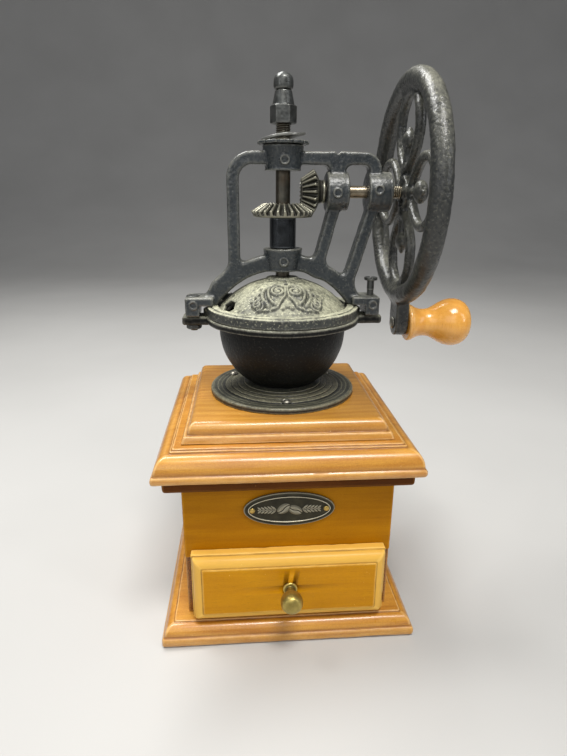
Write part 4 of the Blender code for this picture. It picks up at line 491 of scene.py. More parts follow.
def iron(name, base, dust_and_sheen_colour, dust_and_sheen=0.3, lump=0.5, gloss=0.36, rub=0.5, grain=1.0, painted_hollow_shade=0.7, shine=0.5,
         cloudy=1.3,
         specks_and_glints=0.0, worn=(176, 173, 158)):
    """Black painted rough casting: paint gloss, grey dusting and painted sheen on what faces up, dusting
    specks and painted glints, painted shade in the hollows, rubbed ridges.
    """
    t = Tree(name)
    coarse = t.noise(520, 3.0, 0.55)
    pits = t.noise(1500, 2.0, 0.5)
    cloud = t.noise(60, 4.0, 0.6)
    spots = t.span(t.noise(800, 2.0, 0.5), 0.60, 0.68)
    broad = t.span(t.noise(28, 3.0, 0.6), 0.35, 0.62, 0.35, 1.0)
    colour = t.mix(t.span(cloud, 0.3, 0.7), base, tuple(c * cloudy for c in base[:3]) + (1.0,))
    # Grey dust on what faces up, which also stands in for the sheen of the lamps above: partly dust, partly
    # painted sheen.
    up = t.span(t.up()[2], 0.1, 0.95)
    layer = t.maths("MULTIPLY", up,
                    t.span(t.maths("ADD", cloud, t.maths("MULTIPLY", coarse, 0.7)), 0.55, 1.0))
    layer = t.maths("ADD", layer, t.maths("MULTIPLY", t.maths("MULTIPLY", up, spots), 0.8))
    # Painted shade: dust is kept out of the hollows so that they stay dark.
    layer = t.maths("MULTIPLY", layer,
                    t.maths("SUBTRACT", 1.0, t.maths("MULTIPLY", t.layer("crease"), painted_hollow_shade), True))
    layer = t.maths("MULTIPLY", t.maths("MULTIPLY", layer, broad), dust_and_sheen)
    # Light specks all over: partly dust specks, partly painted glints.
    layer = t.maths("ADD", layer, t.maths("MULTIPLY", spots, specks_and_glints), True)
    colour = t.mix(layer, colour, dust_and_sheen_colour)
    wear = t.maths("MULTIPLY", t.layer("wear"), t.span(coarse, 0.35, 0.65, 0.4, 1.0))
    wear = t.maths("MULTIPLY", wear, rub, clamp=True)
    colour = t.mix(wear, colour, rgb(*worn))
    # Painted shade: the hollows are darkened to near black.
    crease = t.maths("MULTIPLY", t.layer("crease"), painted_hollow_shade)
    colour = t.mix(crease, colour, rgb(16, 16, 15))
    rough = t.maths("ADD", t.span(cloud, 0.3, 0.7, gloss - 0.04, gloss + 0.05),
                    t.maths("MULTIPLY", layer, 0.35))
    normal = t.bump(coarse, 0.0005, lump)
    normal = t.bump(pits, 0.00016, 0.6 * grain, normal)
    return t.finish(colour, rough, normal, Specular_IOR_Level=shine)


def metal(name, bright, dull, stain, metallic=0.85, gloss=0.35, stained=0.4, bumpy=0.3, rub=0.8,
          edge=None):
    """Bare or blackened metal with tarnish, dirt in its hollows and rubbed edges."""
    t = Tree(name)
    cloud = t.noise(160, 4.0, 0.6)
    fine = t.noise(1500, 3.0, 0.6)
    lines = t.noise((40, 40, 40), 3.0, 0.6)
    colour = t.mix(t.span(t.maths("ADD", cloud, t.maths("MULTIPLY", lines, 0.6)), 0.5, 1.05), dull, bright)
    patch = t.span(t.noise(85, 4.0, 0.65), 0.42, 0.68)
    colour = t.mix(t.maths("MULTIPLY", patch, stained), colour, stain)
    wear = t.maths("MULTIPLY", t.layer("wear"), rub, clamp=True)
    colour = t.mix(wear, colour, edge or tuple(min(1.0, c * 1.9) for c in bright[:3]) + (1.0,))
    crease = t.maths("MULTIPLY", t.layer("crease"), 0.85)
    colour = t.mix(crease, colour, tuple(c * 0.25 for c in stain[:3]) + (1.0,))
    rough = t.maths("ADD", t.span(fine, 0.3, 0.7, gloss - 0.06, gloss + 0.1),
                    t.maths("MULTIPLY", patch, 0.15 * stained))
    normal = t.bump(cloud, 0.0003, bumpy)
    normal = t.bump(fine, 0.00006, 0.5, normal)
    return t.finish(colour, rough, normal, metallic=metallic)


HONEY = wood("honey_wood", rgb(214, 158, 62), rgb(170, 108, 28), rgb(240, 204, 142), rgb(98, 54, 28),
             streak=0.6,
             gloss=0.32, lacquer=0.5)
HONEY_TIER = wood("honey_wood_tier", rgb(212, 158, 70), rgb(172, 114, 38), rgb(240, 204, 146),
                  rgb(102, 58, 32),
                  streak=0.6, seed=0.37, gloss=0.32, lacquer=0.5)
# Very dark end grain: real end grain, and also painted shade for the recessed front ends beside the drawer.
SIDE_WOOD_SHADED_ENDS = wood("side_wood", rgb(204, 138, 48), rgb(158, 94, 22), rgb(226, 178, 108), rgb(58, 32, 12),
                 along="y",
                 seed=0.53, end_grain=0.95, shine=0.35, lacquer=0.1)
AMBER = wood("amber_wood", rgb(184, 124, 4), rgb(154, 98, 2), rgb(214, 154, 50), rgb(76, 42, 4), streak=0.5,
             gloss=0.46, seed=0.71, end_grain=0.2, shine=0.1, lacquer=0.0)
# Painted shade: the step board under the lid's overhang is given a dark colour for the lid's shadow.
STEP_WOOD_PAINTED_SHADE = wood("step_wood_painted_shade", rgb(104, 58, 10), rgb(78, 40, 5), rgb(168, 112, 44), rgb(40, 20, 5), streak=0.5,
             gloss=0.5,
             seed=0.83, shine=0.1, lacquer=0.0)
GOLD = wood("golden_wood", rgb(206, 146, 4), rgb(186, 124, 2), rgb(246, 206, 116), rgb(104, 66, 10),
            streak=0.4,
            gloss=0.38, seed=1.13, end_grain=0.15, shine=0.15, lacquer=0.08, bare=rgb(240, 194, 96))
PALE = wood("pale_wood", rgb(206, 168, 112), rgb(178, 136, 82), rgb(226, 200, 156), rgb(112, 80, 46),
            along="y",
            gloss=0.55, seed=0.9, end_grain=0.3, shine=0.3, lacquer=0.0)
KNOB_WOOD = wood("knob_wood", rgb(236, 180, 92), rgb(212, 146, 56), rgb(246, 214, 152), rgb(132, 78, 26),
                 along="z",
                 streak=0.5, gloss=0.2, seed=2.3, end_grain=0.1, lacquer=0.3)

# The pale dust on the frame's top faces is partly dust, partly painted sheen of the lamps above.
CAST = iron("cast_iron", rgb(36, 41, 44), rgb(170, 168, 152), dust_and_sheen=0.45, lump=0.4, gloss=0.27, rub=0.5,
            shine=0.6,
            specks_and_glints=0.08)
# The dome's heavy grey dust is partly dust, partly painted sheen of the lamps above it.
CAST_DUST_AND_SHEEN = iron("cast_iron_dust_and_sheen", rgb(40, 42, 40), rgb(198, 197, 168), dust_and_sheen=1.1, lump=0.8, gloss=0.4,
                  rub=0.5,
                  painted_hollow_shade=1.0, cloudy=1.8, specks_and_glints=0.35)
CAST_BOWL = iron("cast_iron_bowl", rgb(6, 7, 7), rgb(170, 170, 150), dust_and_sheen=0.75, lump=0.6, gloss=0.46,
                 rub=0.35,
                 shine=0.2, specks_and_glints=0.04)
CAST_FLANGE = iron("cast_iron_flange", rgb(24, 27, 28), rgb(150, 148, 124), dust_and_sheen=0.3, lump=0.5, gloss=0.3,
                   rub=0.42,
                   cloudy=1.5, specks_and_glints=0.2, worn=(190, 182, 148))
CAST_WHEEL = iron("cast_iron_wheel", rgb(33, 35, 35), rgb(176, 174, 154), dust_and_sheen=0.4, lump=0.35, gloss=0.28,
                  rub=0.35,
                  grain=1.6, specks_and_glints=0.12)

STEEL = metal("worn_steel", rgb(150, 148, 138), rgb(96, 94, 86), rgb(92, 70, 48), gloss=0.34)
SHAFT_STEEL = metal("rubbed_shaft", rgb(160, 150, 130), rgb(106, 96, 80), rgb(88, 74, 56), gloss=0.3,
                    stained=0.4,
                    edge=rgb(214, 206, 180))
DARK_SHAFT = metal("dark_shaft", rgb(106, 104, 94), rgb(58, 58, 54), rgb(84, 64, 44), gloss=0.32,
                   stained=0.55)
GEAR_STEEL = metal("gear_steel", rgb(104, 104, 96), rgb(50, 50, 46), rgb(38, 34, 26), gloss=0.36,
                   stained=0.5, rub=0.85,
                   edge=rgb(182, 179, 160))
BLACK_STEEL = metal("blackened_steel", rgb(98, 100, 98), rgb(44, 46, 46), rgb(48, 42, 34), metallic=0.7,
                    gloss=0.32,
                    stained=0.3, edge=rgb(150, 150, 144))
DARK_STEEL = metal("dark_steel", rgb(84, 88, 92), rgb(40, 42, 44), rgb(44, 38, 32), metallic=0.7,
                   gloss=0.16,
                   stained=0.2)
NAIL_BRASS = metal("nail_brass", rgb(206, 178, 104), rgb(170, 140, 72), rgb(96, 80, 44), gloss=0.28,
                   stained=0.2)
BRASS = metal("aged_brass", rgb(186, 166, 96), rgb(142, 124, 60), rgb(92, 82, 46), gloss=0.34, stained=0.4,
              rub=0.4)
PLATE_METAL = metal("antique_plate", rgb(60, 56, 40), rgb(28, 26, 16), rgb(20, 18, 11), metallic=0.6,
                    gloss=0.34,
                    stained=0.4, rub=1.0, bumpy=0.5, edge=rgb(214, 208, 184))


# Boards

def plan(half_x, half_y, corner, cells=14, steps=3, fade=0.8):
    """Rounded rectangle, anticlockwise, with points just off each corner. Returns points and marks."""
    points, marks = [], []
    centres = ((1, 1), (-1, 1), (-1, -1), (1, -1))
    for k, (sx, sy) in enumerate(centres):
        cx, cy = sx * (half_x - corner), sy * (half_y - corner)
        a = arc(cx, cy, corner, corner, 90 * k, 90 * (k + 1), steps)
        points += a
        marks += [1.0] * len(a)
        nx, ny = centres[(k + 1) % 4]
        last = a[-1]
        turn = math.radians(90 * (k + 1))
        first = (nx * (half_x - corner) + corner * math.cos(turn),
                 ny * (half_y - corner) + corner * math.sin(turn))
        run = math.hypot(first[0] - last[0], first[1] - last[1])
        edge = min(0.4, fade / max(run, 1e-6))
        for s in [edge] + [edge + (1 - 2 * edge) * i / cells for i in range(1, cells)] + [1 - edge]:
            points.append((last[0] + (first[0] - last[0]) * s, last[1] + (first[1] - last[1]) * s))
            marks.append(0.0)
    return points, marks


def board(half_x, half_y, profile, corner, hole=None, cells=14, soft=0.5, steps=3, centre=(0, 0)):
    """A moulded board: profile is (inset, height) going up, hole is (radius, height) going down again."""
    levels, marks = soften(profile, soft, steps)
    verts, layer, rows = [], [], []
    for (inset, height), mark in zip(levels, marks):
        outline, corners = plan(half_x - inset, half_y - inset, corner, cells)
        rows.append(range(len(verts), len(verts) + len(outline)))
        for (x, y), c in zip(outline, corners):
            verts.append((x, y, height))
            flat = abs(height - levels[0][1]) < 1e-6 or abs(height - levels[-1][1]) < 1e-6
            layer.append(mark if mark < 0 or flat else max(mark, c * 0.8))
    count = len(rows[0])
    loops = len(rows)
    if hole:
        outline, _ = plan(half_x, half_y, corner, cells)
        angles = [math.atan2(y - centre[1], x - centre[0]) for x, y in outline]
        for radius, height in hole:
            rows.append(range(len(verts), len(verts) + count))
            for a in angles:
                verts.append((centre[0] + radius * math.cos(a), centre[1] + radius * math.sin(a), height))
                layer.append(0.0)
    faces = []
    pairs = list(zip(rows, rows[1:])) + ([(rows[-1], rows[0])] if hole else [])
    for low, high in pairs:
        for s in range(count):
            t = (s + 1) % count
            faces.append([low[s], low[t], high[t], high[s]])
    if not hole:
        for row, up in ((rows[0], False), (rows[loops - 1], True)):
            verts.append((0, 0, verts[row[0]][2]))
            layer.append(0.0)
            mid = len(verts) - 1
            for s in range(count):
                t = (s + 1) % count
                faces.append([row[s], row[t], mid] if up else [row[t], row[s], mid])
    return np.array(verts, float), faces, np.array(layer)


def chips(verts, marks, depth=0.45, scale=0.16, seed=3.0, centre=(0, 0, 0)):
    """Wears small dents into the arrises."""
    out = np.array(verts, float)
    middle = np.array(centre, float)
    for i, m in enumerate(marks):
        if m > 0.5:
            p = out[i]
            bite = noise.noise(Vector(p * scale) + Vector((seed, 0, 0)))
            bite = max(0.0, bite - 0.08) * 1.6 + 0.12 * max(0.0, noise.noise(Vector(p * 0.9)))
            towards = middle - p
            out[i] += towards / np.linalg.norm(towards) * bite * depth
    return out


def rounded_block(low, high, radius, cells=10):
    low, high = np.array(low, float), np.array(high, float)
    half = (high - low) / 2
    tall = half[2] * 2
    inner = min(half[0], half[1]) * 0.5
    profile = [(inner, 0), (0, 0), (0, tall), (inner, tall)]
    v, f, m = board(half[0], half[1], profile, radius, cells=cells, soft=radius)
    return v + np.array([(low[0] + high[0]) / 2, (low[1] + high[1]) / 2, low[2]]), f, m


def wooden(name, shape, body, material, stands_for, warp=0.12, seed=1.0, chip=0.5):
    v, f, m = shape
    middle = (v.max(0) + v.min(0)) / 2
    v = chips(v, m, chip, seed=seed, centre=middle)
    v = ripple_verts(v, warp, 0.035, seed)
    return piece(name, make_mesh(name, v, f, wear_layers(m)), body, material, stands_for)


def round_over(inset, height, width, rise, steps=8):
    """A quarter round from the outer edge up and in."""
    return [(inset + width * (1 - math.cos(math.radians(90 * s / steps))),
             height + rise * math.sin(math.radians(90 * s / steps))) for s in range(steps + 1)]


BASE = [(30, 0), (1.8, 0), (0.5, 0.6), (0, 1.9), (0, 4.6), (0.35, 5.8), (1.5, 6.6)] + round_over(1.5, 6.6,
        5.2, 6.5)[1:]
BASE += [(7.6, 13.1), (7.6, 14), (30, 14)]
LID = [(30, 0), (1.8, 0), (0.5, 0.6), (0, 1.8), (0, 3.4), (0.4, 4.7), (1.5, 5.4)] + round_over(1.5, 5.4,
        7.2, 9.75)[1:]
LID += [(10.6, 15.15), (10.6, 16.45), (11.9, 16.45), (11.9, 17.5), (30, 17.5)]
STEP = [(30, 0), (2.5, 0)] + [(2.5 - 2.5 * math.sin(math.radians(a)), 2.5 - 2.5 * math.cos(math.radians(a)))
                              for a in (18, 36, 54, 72, 90)] + [(0, 7.8), (30, 7.8)]
TIER = [(30, 0), (0, 0), (1.6, 4), (4, 4), (4, 6.2)] + round_over(4, 6.2, 4.8, 5)[1:] + [(30, 11.2)]


def lift(shape, x=0.0, y=0.0, z=0.0):
    v, f, m = shape
    return v + np.array([x, y, z]), f, m


wooden("base_board_top", board(80.5, 80.5, BASE, 1.1, cells=40, soft=0.45), "stand", HONEY,
       "base_board", seed=1.0)
wooden("step_board_wood", lift(board(74.5, 74.5, STEP, 1.0, [(23, 7.8), (23, 0)], 30, 0.5), z=106.6),
       "stand",
       STEP_WOOD_PAINTED_SHADE, "step_board", seed=2.0)
wooden("lid_board_wood", lift(board(80, 80, LID, 1.0, [(23, 17.5), (23, 0)], 40, 0.45), z=114.7), "stand",
       HONEY, "lid_board", seed=3.0)
wooden("top_tier_wood", lift(board(63.5, 63.5, TIER, 0.9, [(23, 11.2), (23, 0)], 32, 0.45), z=132.5),
       "stand",
       HONEY_TIER, "top_tier", seed=4.0)

for side, name in ((-1, "left"), (1, "right")):
    xs = sorted((side * 64.5, side * 56.5))
    low_part = rounded_block((xs[0], -65, 14.3), (xs[1], 65, 57.0), 0.7, 16)
    high_part = rounded_block((xs[0], -57.7, 56.2), (xs[1], 65, 106.3), 0.7, 16)
    wooden("side_wood_" + name, join_parts([low_part, high_part]), "stand", SIDE_WOOD_SHADED_ENDS,
           "side_panel_" + name, seed=5.0 + side)
wooden("back_wood", rounded_block((-56.2, 57, 14.3), (56.2, 65, 106.3), 0.5, 16), "stand",
       HONEY,
       "back_panel", seed=7.0)
wooden("fascia_wood", rounded_block((-64.5, -67, 57.3), (64.5, -58, 106.3), 0.7, 20), "stand",
       AMBER,
       "front_fascia", seed=8.0)


# Drawer

def to_front(shape, y, z):
    v, f, m = shape
    return np.stack([v[:, 0], y - v[:, 2], z + v[:, 1]], 1), f, m


FRONT = [(20, 0), (0, 0), (0, 5), (0.9, 5.45)] + round_over(0.9, 5.45, 5, 5.2)[1:]
FRONT += [(6.9, 10.65), (6.9, 11.55), (20, 11.55)]
front = board(60.5, 23.35, FRONT, 0.9, [(2.4, 11.55), (2.4, 2.2), (4.2, 2.2), (4.2, 0)], 30, 0.4,
              centre=(0, 1.35))
wooden("drawer_front_wood", to_front(front, -67.3, 39.65), "drawer", GOLD,
       "drawer_front",
       seed=9.0, warp=0.15, chip=0.7)
for side, name in ((-1, "left"), (1, "right")):
    xs = sorted((side * 50.0, side * 55.0))
    wooden("drawer_side_wood_" + name, rounded_block((xs[0], -67, 14.3), (xs[1], 45, 50), 0.6, 14),
           "drawer",
           PALE, "drawer_side_" + name, seed=10.0 + side)
wooden("drawer_back_wood", rounded_block((-49.7, 40, 20.1), (49.7, 45, 50), 0.6, 14), "drawer",
       PALE,
       "drawer_back", seed=12.0)
wooden("drawer_floor_wood", rounded_block((-50.2, -67, 16.8), (50.2, 44.8, 19.8), 0.4, 14), "drawer",
       PALE, "drawer_bottom", seed=13.0, chip=0.2)

knob = [(0, 0), (4.4, 0), (4.4, 1.2), (2.9, 1.7), (2.5, 2.4), (2.5, 6.0), (3.2, 7.0), (5.1, 7.7),
        (6.25, 9.4),
        (6.7, 12.0), (6.45, 14.4), (5.4, 16.4), (3.4, 17.6), (1.7, 17.95), (0, 18.0)]
v, f, m = soft_turned(knob, 0.5, 48, "-Y", (0, -79.15, 41), least=24)
piece("drawer_knob_brass", make_mesh("drawer_knob_brass", v, f, wear_layers(m)), "drawer",
      BRASS,
      "drawer_knob")

NODES["drawer_knob_screw"].material_slots[0].material = STEEL


# Plate

PLATE_MIDDLE = 90.4


def ellipse2(u, v, a, b):
    k1 = np.sqrt((u / a) ** 2 + (v / b) ** 2)
    k2 = np.sqrt((u / a ** 2) ** 2 + (v / b ** 2) ** 2) + 1e-9
    return k1 * (k1 - 1) / k2


def bean(u, v, cx, cy, turn, size=1.0):
    """A coffee bean in relief: a domed oval with a wavy crease along it."""
    c, s = math.cos(math.radians(turn)), math.sin(math.radians(turn))
    a, b = ((u - cx) * c + (v - cy) * s) / size, (-(u - cx) * s + (v - cy) * c) / size
    d = ellipse2(a, b, 4.6, 3.2)
    dome = np.clip(-d / 1.6, 0, 1) ** 0.5
    crease = np.exp(-((b - 0.45 * np.sin(a * 0.75)) / 0.38) ** 2)
    return dome * (1 - 0.75 * crease)


def leaf(u, v, cx, cy, turn, long=3.4, wide=1.25):
    c, s = math.cos(math.radians(turn)), math.sin(math.radians(turn))
    a, b = (u - cx) * c + (v - cy) * s, -(u - cx) * s + (v - cy) * c
    edge = wide * np.clip(1 - (a / long) ** 2, 0, 1)
    rise = np.clip((edge - np.abs(b)) / 0.5, 0, 1)
    return rise * (0.75 + 0.25 * np.clip(np.abs(b) / 0.35, 0, 1))


def plate_relief(u, v):
    d = ellipse2(u, v, 27.7, 11.5)
    rim = np.clip(1 - (np.abs(d + 2.9) - 0.15) / 0.4, 0, 1)
    h = 0.6 * rim
    h = np.maximum(h, 0.55 * np.maximum(bean(u, v, -3.4, 0.6, 35), bean(u, v, 3.6, -0.5, -28)))
    for side in (-1, 1):
        for i in range(5):
            x = side * (8.6 + i * 2.1)
            for flip in (-1, 1):
                turn = flip * 38 if side > 0 else 180 - flip * 38
                h = np.maximum(h, 0.4 * leaf(u, v, x + side * 1.1, flip * (1.5 - 0.1 * i), turn,
                                             2.3 - 0.15 * i, 0.85))
        stem = np.clip(1 - (np.abs(v) - 0.12) / 0.25, 0, 1) * (side * u > 8) * (side * u < 19)
        h = np.maximum(h, 0.35 * stem)
    return h


field = Field((-29, -70.4, 77.6), (29, -66.9, 103.2), 0.2)
u, v = field.x, field.z - PLATE_MIDDLE
rise = -67.3 - field.y
flat = ellipse2(u, v, 27.7, 11.5)
h = plate_relief(u, v)
near = smax(rise - 1.45 - h, flat, 0.5)
shape = smax(np.maximum(near, -rise), -(np.minimum(np.hypot(u - 22.5, v), np.hypot(u + 22.5, v)) - 1.1),
             0.3)
verts, faces = field.mesh(shape)
layers = curvature_layers(verts, faces, 5, 12.0)
away = np.clip((-verts[:, 1] - 68.9) / 0.5, 0, 1)
layers["wear"] = np.clip(layers["wear"] + 0.35 * away, 0, 1)
piece("plate_relief", make_mesh("plate_relief", verts, faces, layers), "stand",
      PLATE_METAL,
      "name_plate")
for side, name in ((-1, "left"), (1, "right")):
    crown = [(0, -5), (0.9, -5), (0.9, 1.7), (1.75, 1.7)] + arc(0, 1.75, 1.75, 1.0, 5, 90, 8)
    v, f, m = soft_turned(crown, 0.2, 28, "-Y", (side * 22.5, -67.3, PLATE_MIDDLE), least=25)
    piece("plate_nail_head_" + name, make_mesh("plate_nail_" + name, v, f, wear_layers(m)), "stand",
          NAIL_BRASS, "plate_nail_" + name)


# Hopper

def flange_ripple(r, h, a):
    """Turning marks and slight waviness of the casting."""
    lift = 0.06 * math.sin(2 * a + 1.0) + 0.05 * math.sin(5 * a + r)
    return r + 0.12 * math.sin(3 * a + r * 0.3), h + lift


points = [(21.7, 144.0), (48.6, 144.0), (48.6, 146.7), (47.9, 147.4)]
ridge = 47.4
for radius, low in ((38.7, 147.4), (34.6, 148.1), (30.5, 148.8), (26.4, 149.5)):
    run = np.linspace(ridge, radius + 0.5, 4)
    for k, r in enumerate(run[:-1]):
        points += [(r, low), (r - 0.55, low + 0.2), (r - 0.95, low + 0.05)]
    points += [(radius, low), (radius, low + 0.7)]
    ridge = radius - 0.6
points += arc(0, 186.5, 41.5, 41.5, -math.degrees(math.asin((186.5 - 150.9) / 41.5)), 0, 26)
points += [(41.5, 191.4), (42.4, 192.2), (49.8, 192.2), (50.0, 195.4), (49.3, 196), (38.4, 196),
           (37.5, 195.2)]
inner = math.degrees(math.asin(math.sqrt(37.5 ** 2 - 16.5 ** 2) / 37.5))
points += arc(0, 186.5, 37.5, 37.5, 0, -inner, 18)
points += [(16.5, 147.5), (21.7, 147.5)]
body = soft_turned(points, 0.35, 144, steps=2, least=20, fade=0.6, ripple=flange_ripple)


def lug_parts():
    out = []
    for side in (-1, 1):
        f = Field((38 if side > 0 else -67, -10, 188), (67 if side > 0 else -38, 10, 198), 0.45)
        d = box_field(f.x, f.y, f.z, (side * 52 - 13.2, -7.5, 190.4), (side * 52 + 13.2, 7.5, 196), 1.6)
        d = smax(d, -(np.hypot(f.x - side * 58.2, f.y) - 2.65), 0.5)
        d = np.maximum(d, 42.5 - np.hypot(f.x, f.y))
        d = d + 0.12 * lumps(f.x, f.y, f.z, 2.4, 5)
        v, faces = f.mesh(d)
        layers = curvature_layers(v, faces, 6, 6.0)
        out.append((v, faces.tolist(), layers["wear"] - layers["crease"]))
    return out


v, f, m = join_parts([body] + lug_parts())
v = ripple_verts(v, 0.1, 0.2, 3.0)
mesh = make_mesh("hopper_casting", v, f, wear_layers(m))
mesh.materials.append(CAST_BOWL)
mesh.materials.append(CAST_FLANGE)
heights = [max(v[i][2] for i in face) for face in f]
mesh.polygons.foreach_set("material_index", [int(height < 151.6) for height in heights])
piece("hopper_casting", mesh, "stand", None, "hopper_bowl")


def round_screw(name, place, head, height, shank, length, material, stands_for, turn=20.0, slot_width=0.9):
    """A round headed screw with a sawn slot."""
    x, y, z = place
    f = Field((-head - 0.6, -head - 0.6, -1.2), (head + 0.6, head + 0.6, height + 0.6), 0.18)
    rho = np.hypot(f.x, f.y)
    crown = (head * head + height * height) / (2 * height)
    d = smax(np.sqrt(rho ** 2 + (f.z - height + crown) ** 2) - crown, -f.z, 0.4)
    d = smax(d, rho - head, 0.3)
    d = np.minimum(d, np.maximum(rho - shank, np.abs(f.z + 0.4) - 0.6))
    c, s = math.cos(math.radians(turn)), math.sin(math.radians(turn))
    d = smax(d, -np.maximum(np.abs(-f.x * s + f.y * c) - slot_width / 2, 0.45 * height - f.z), 0.25)
    v, faces = f.mesh(d)
    v = v + np.array(place)
    layers = curvature_layers(v, faces, 4, 9.0)
    shaft = soft_turned([(0, -length), (shank * 0.4, -length), (shank, -length + shank * 2), (shank, -0.5),
                         (0, -0.5)], 0.1, 24, "Z", place)
    v, faces, m = join_parts([(v, faces.tolist(), layers["wear"] - layers["crease"]), shaft])
    piece(name, make_mesh(name, v, faces, wear_layers(m)), "stand", material, stands_for)


for name, angle, turn in (("front", -90, 25), ("right", 30, 70), ("left", 150, 130)):
    place = (38.4 * math.cos(math.radians(angle)), 38.4 * math.sin(math.radians(angle)), 148.45)
    round_screw("flange_screw_slotted_" + name, place, 3.2, 1.8, 1.9, 12, STEEL, "flange_screw_" + name,
                turn)


# Dome cover

def spiral(cx, cy, start_radius, end_radius, start, turns, steps=26):
    return [(cx + (start_radius + (end_radius - start_radius) * s / steps)
             * math.cos(math.radians(start + 360 * turns * s / steps)),
             cy + (start_radius + (end_radius - start_radius) * s / steps)
             * math.sin(math.radians(start + 360 * turns * s / steps))) for s in range(steps + 1)]


def bend(points, steps=5):
    """A smooth run through a few points."""
    p = [np.array(q, float) for q in points]
    p = [2 * p[0] - p[1]] + p + [2 * p[-1] - p[-2]]
    out = []
    for a, b, c, d in zip(p, p[1:], p[2:], p[3:]):
        for s in range(steps):
            t = s / steps
            out.append(0.5 * (2 * b + (c - a) * t + (2 * a - 5 * b + 4 * c - d) * t * t
                              + (3 * b - a - 3 * c + d) * t ** 3))
    out.append(p[-2])
    return [tuple(q) for q in out]


MIDDLE = 0.7


def dome_ornament(p, q):
    """Scrolls, leaves and beads in relief on the front of the dome, alike on both sides."""
    right = [(bend([(0.9, -20.8), (3.6, -18.9), (7.6, -19.1), (11.0, -22.4), (11.8, -27.6), (10.6, -32.8),
                    (8.0, -37.0)]), 0.95),
             (spiral(5.3, -25.2, 4.5, 1.5, 80, -1.35, 30), 0.85),
             (bend([(0.75, -21.0), (0.8, -26.0), (1.5, -30.4), (4.0, -34.0), (6.4, -38.6)]), 0.7),
             (bend([(13.6, -21.0), (15.7, -25.4), (15.4, -31.0), (12.6, -37.2)]), 1.25),
             (bend([(16.2, -24.2), (18.4, -25.0), (19.6, -27.6)]), 0.8),
             (spiral(19.9, -33.6, 3.2, 1.6, 130, -1.0, 20), 0.85),
             (bend([(16.6, -33.0), (16.0, -36.4), (17.8, -38.8), (20.4, -38.6)]), 0.7)]
    p = np.abs(p - MIDDLE)
    h = np.zeros(np.broadcast(p, q).shape, np.float32)
    for line, width in right:
        h = np.maximum(h, np.sqrt(np.clip(1 - (path2(p, q, line) / (width * 1.2)) ** 2, 0, 1)))
    for x, y, turn, long, wide in ((18.6, -29.4, 62, 3.0, 1.5), (9.0, -39.6, 12, 3.4, 1.3),
                                   (14.2, -39.9, -8, 2.8, 1.2),
                                   (1.6, -17.4, 40, 2.0, 0.9)):
        h = np.maximum(h, 0.9 * leaf(p, q, x, y, -turn, long, wide))
    for x, y, r in ((5.4, -25.4, 1.3), (19.9, -33.6, 1.25), (0.0, -39.0, 1.0), (3.0, -40.2, 0.8),
                    (0.0, -16.4, 0.9),
                    (15.6, -19.4, 0.8), (22.9, -29.6, 0.8)):
        h = np.maximum(h, np.sqrt(np.clip(1 - (np.hypot(p - x, q - y) / (r * 1.2)) ** 2, 0, 1)))
    sunk = np.clip(-ellipse2(p - 5.9, q + 32.8, 4.0, 3.4) / 0.8, 0, 1)
    return 1.25 * h - 0.5 * sunk * (h < 0.05)


def dome_cover():
    f = Field((-55, -51, 195.2), (55, 50, 222.5), 0.38)
    x, y, z = f.x, f.y, f.z
    rho = np.hypot(x, y)
    s = 54 * np.arcsin(np.clip(rho / 54, 0, 0.999))
    scale = s / np.maximum(rho, 1e-3)
    h = dome_ornament(x * scale, y * scale)
    from_centre = np.sqrt(rho ** 2 + (z - 166.5) ** 2)
    skin = from_centre - 54.0 - h
    shell = smax(skin, 51.4 - from_centre, 0.5)
    shell = smax(shell, y - 4.0, 0.6)
    shell = np.maximum(shell, 196.3 - z)
    crown = smax(from_centre - 54.9, rho - 10.5, 1.2)
    shell = smin(shell, np.maximum(smax(crown, 51.4 - from_centre, 0.5), y - 4.0), 0.8)
    outer = extrude(rho - 49.3, z - 199.3, 3.0, 0.7)
    ledge = extrude(rho - 46.6, z - 202.0, 1.0, 0.4)
    band = np.minimum(outer, ledge)
    band = smax(band, 42.2 - rho, 0.5)
    d = smin(shell, np.maximum(band, -np.maximum(y - 4.0, 48.0 - from_centre)), 1.1)
    d = np.minimum(d, band)
    for side in (-1, 1):
        ear = drum(np.hypot(x - side * 44.4, y), z, 7.4, 196.3, 200.4, 0.7)
        ear = smax(ear, 42.2 - rho, 0.5)
        sink = np.maximum(np.hypot(x - side * 44.4, y) - 4.0, 199.6 - z)
        d = smax(smin(d, ear, 0.8), -sink, 0.5)
        d = np.maximum(d, -(np.hypot(x - side * 44.4, y) - 2.0))
    d = smax(d, 5.4 - rho, 0.5)
    azimuth = math.radians(205)
    reach = 38.5 / 54
    out = np.array([math.cos(azimuth) * reach, math.sin(azimuth) * reach, math.sqrt(1 - reach ** 2)])
    across = np.array([-math.sin(azimuth), math.cos(azimuth), 0])
    up = np.cross(out, across)
    pu = x * across[0] + y * across[1]
    pv = x * up[0] + y * up[1] + (z - 166.5) * up[2]
    pw = x * out[0] + y * out[1] + (z - 166.5) * out[2]
    peep = hexagon2(pu, pv * (13.6 / 9.6), 6.6)
    d = smax(d, -np.maximum(peep * 0.8, 30 - pw), 0.9)
    rough = np.clip((203.5 - z) / 1.5, 0, 1)
    d = d + (0.08 + 0.12 * rough) * lumps(x, y, z, 1.7, 11) + 0.12 * lumps(x, y, z, 5.0, 12)
    return f.mesh(d)


verts, faces = dome_cover()
layers = curvature_layers(verts, faces, 8, 4.0)
piece("dome_ornament", make_mesh("dome_ornament", verts, faces, layers), "stand", CAST_DUST_AND_SHEEN,
      "dome_cover")
for side, name in ((-1, "left"), (1, "right")):
    round_screw("dome_screw_slotted_" + name, (side * 44.4, 0, 199.95), 3.2, 1.7, 1.8, 6, STEEL,
                "dome_screw_" + name, 30 + 50 * side)


# Hatch

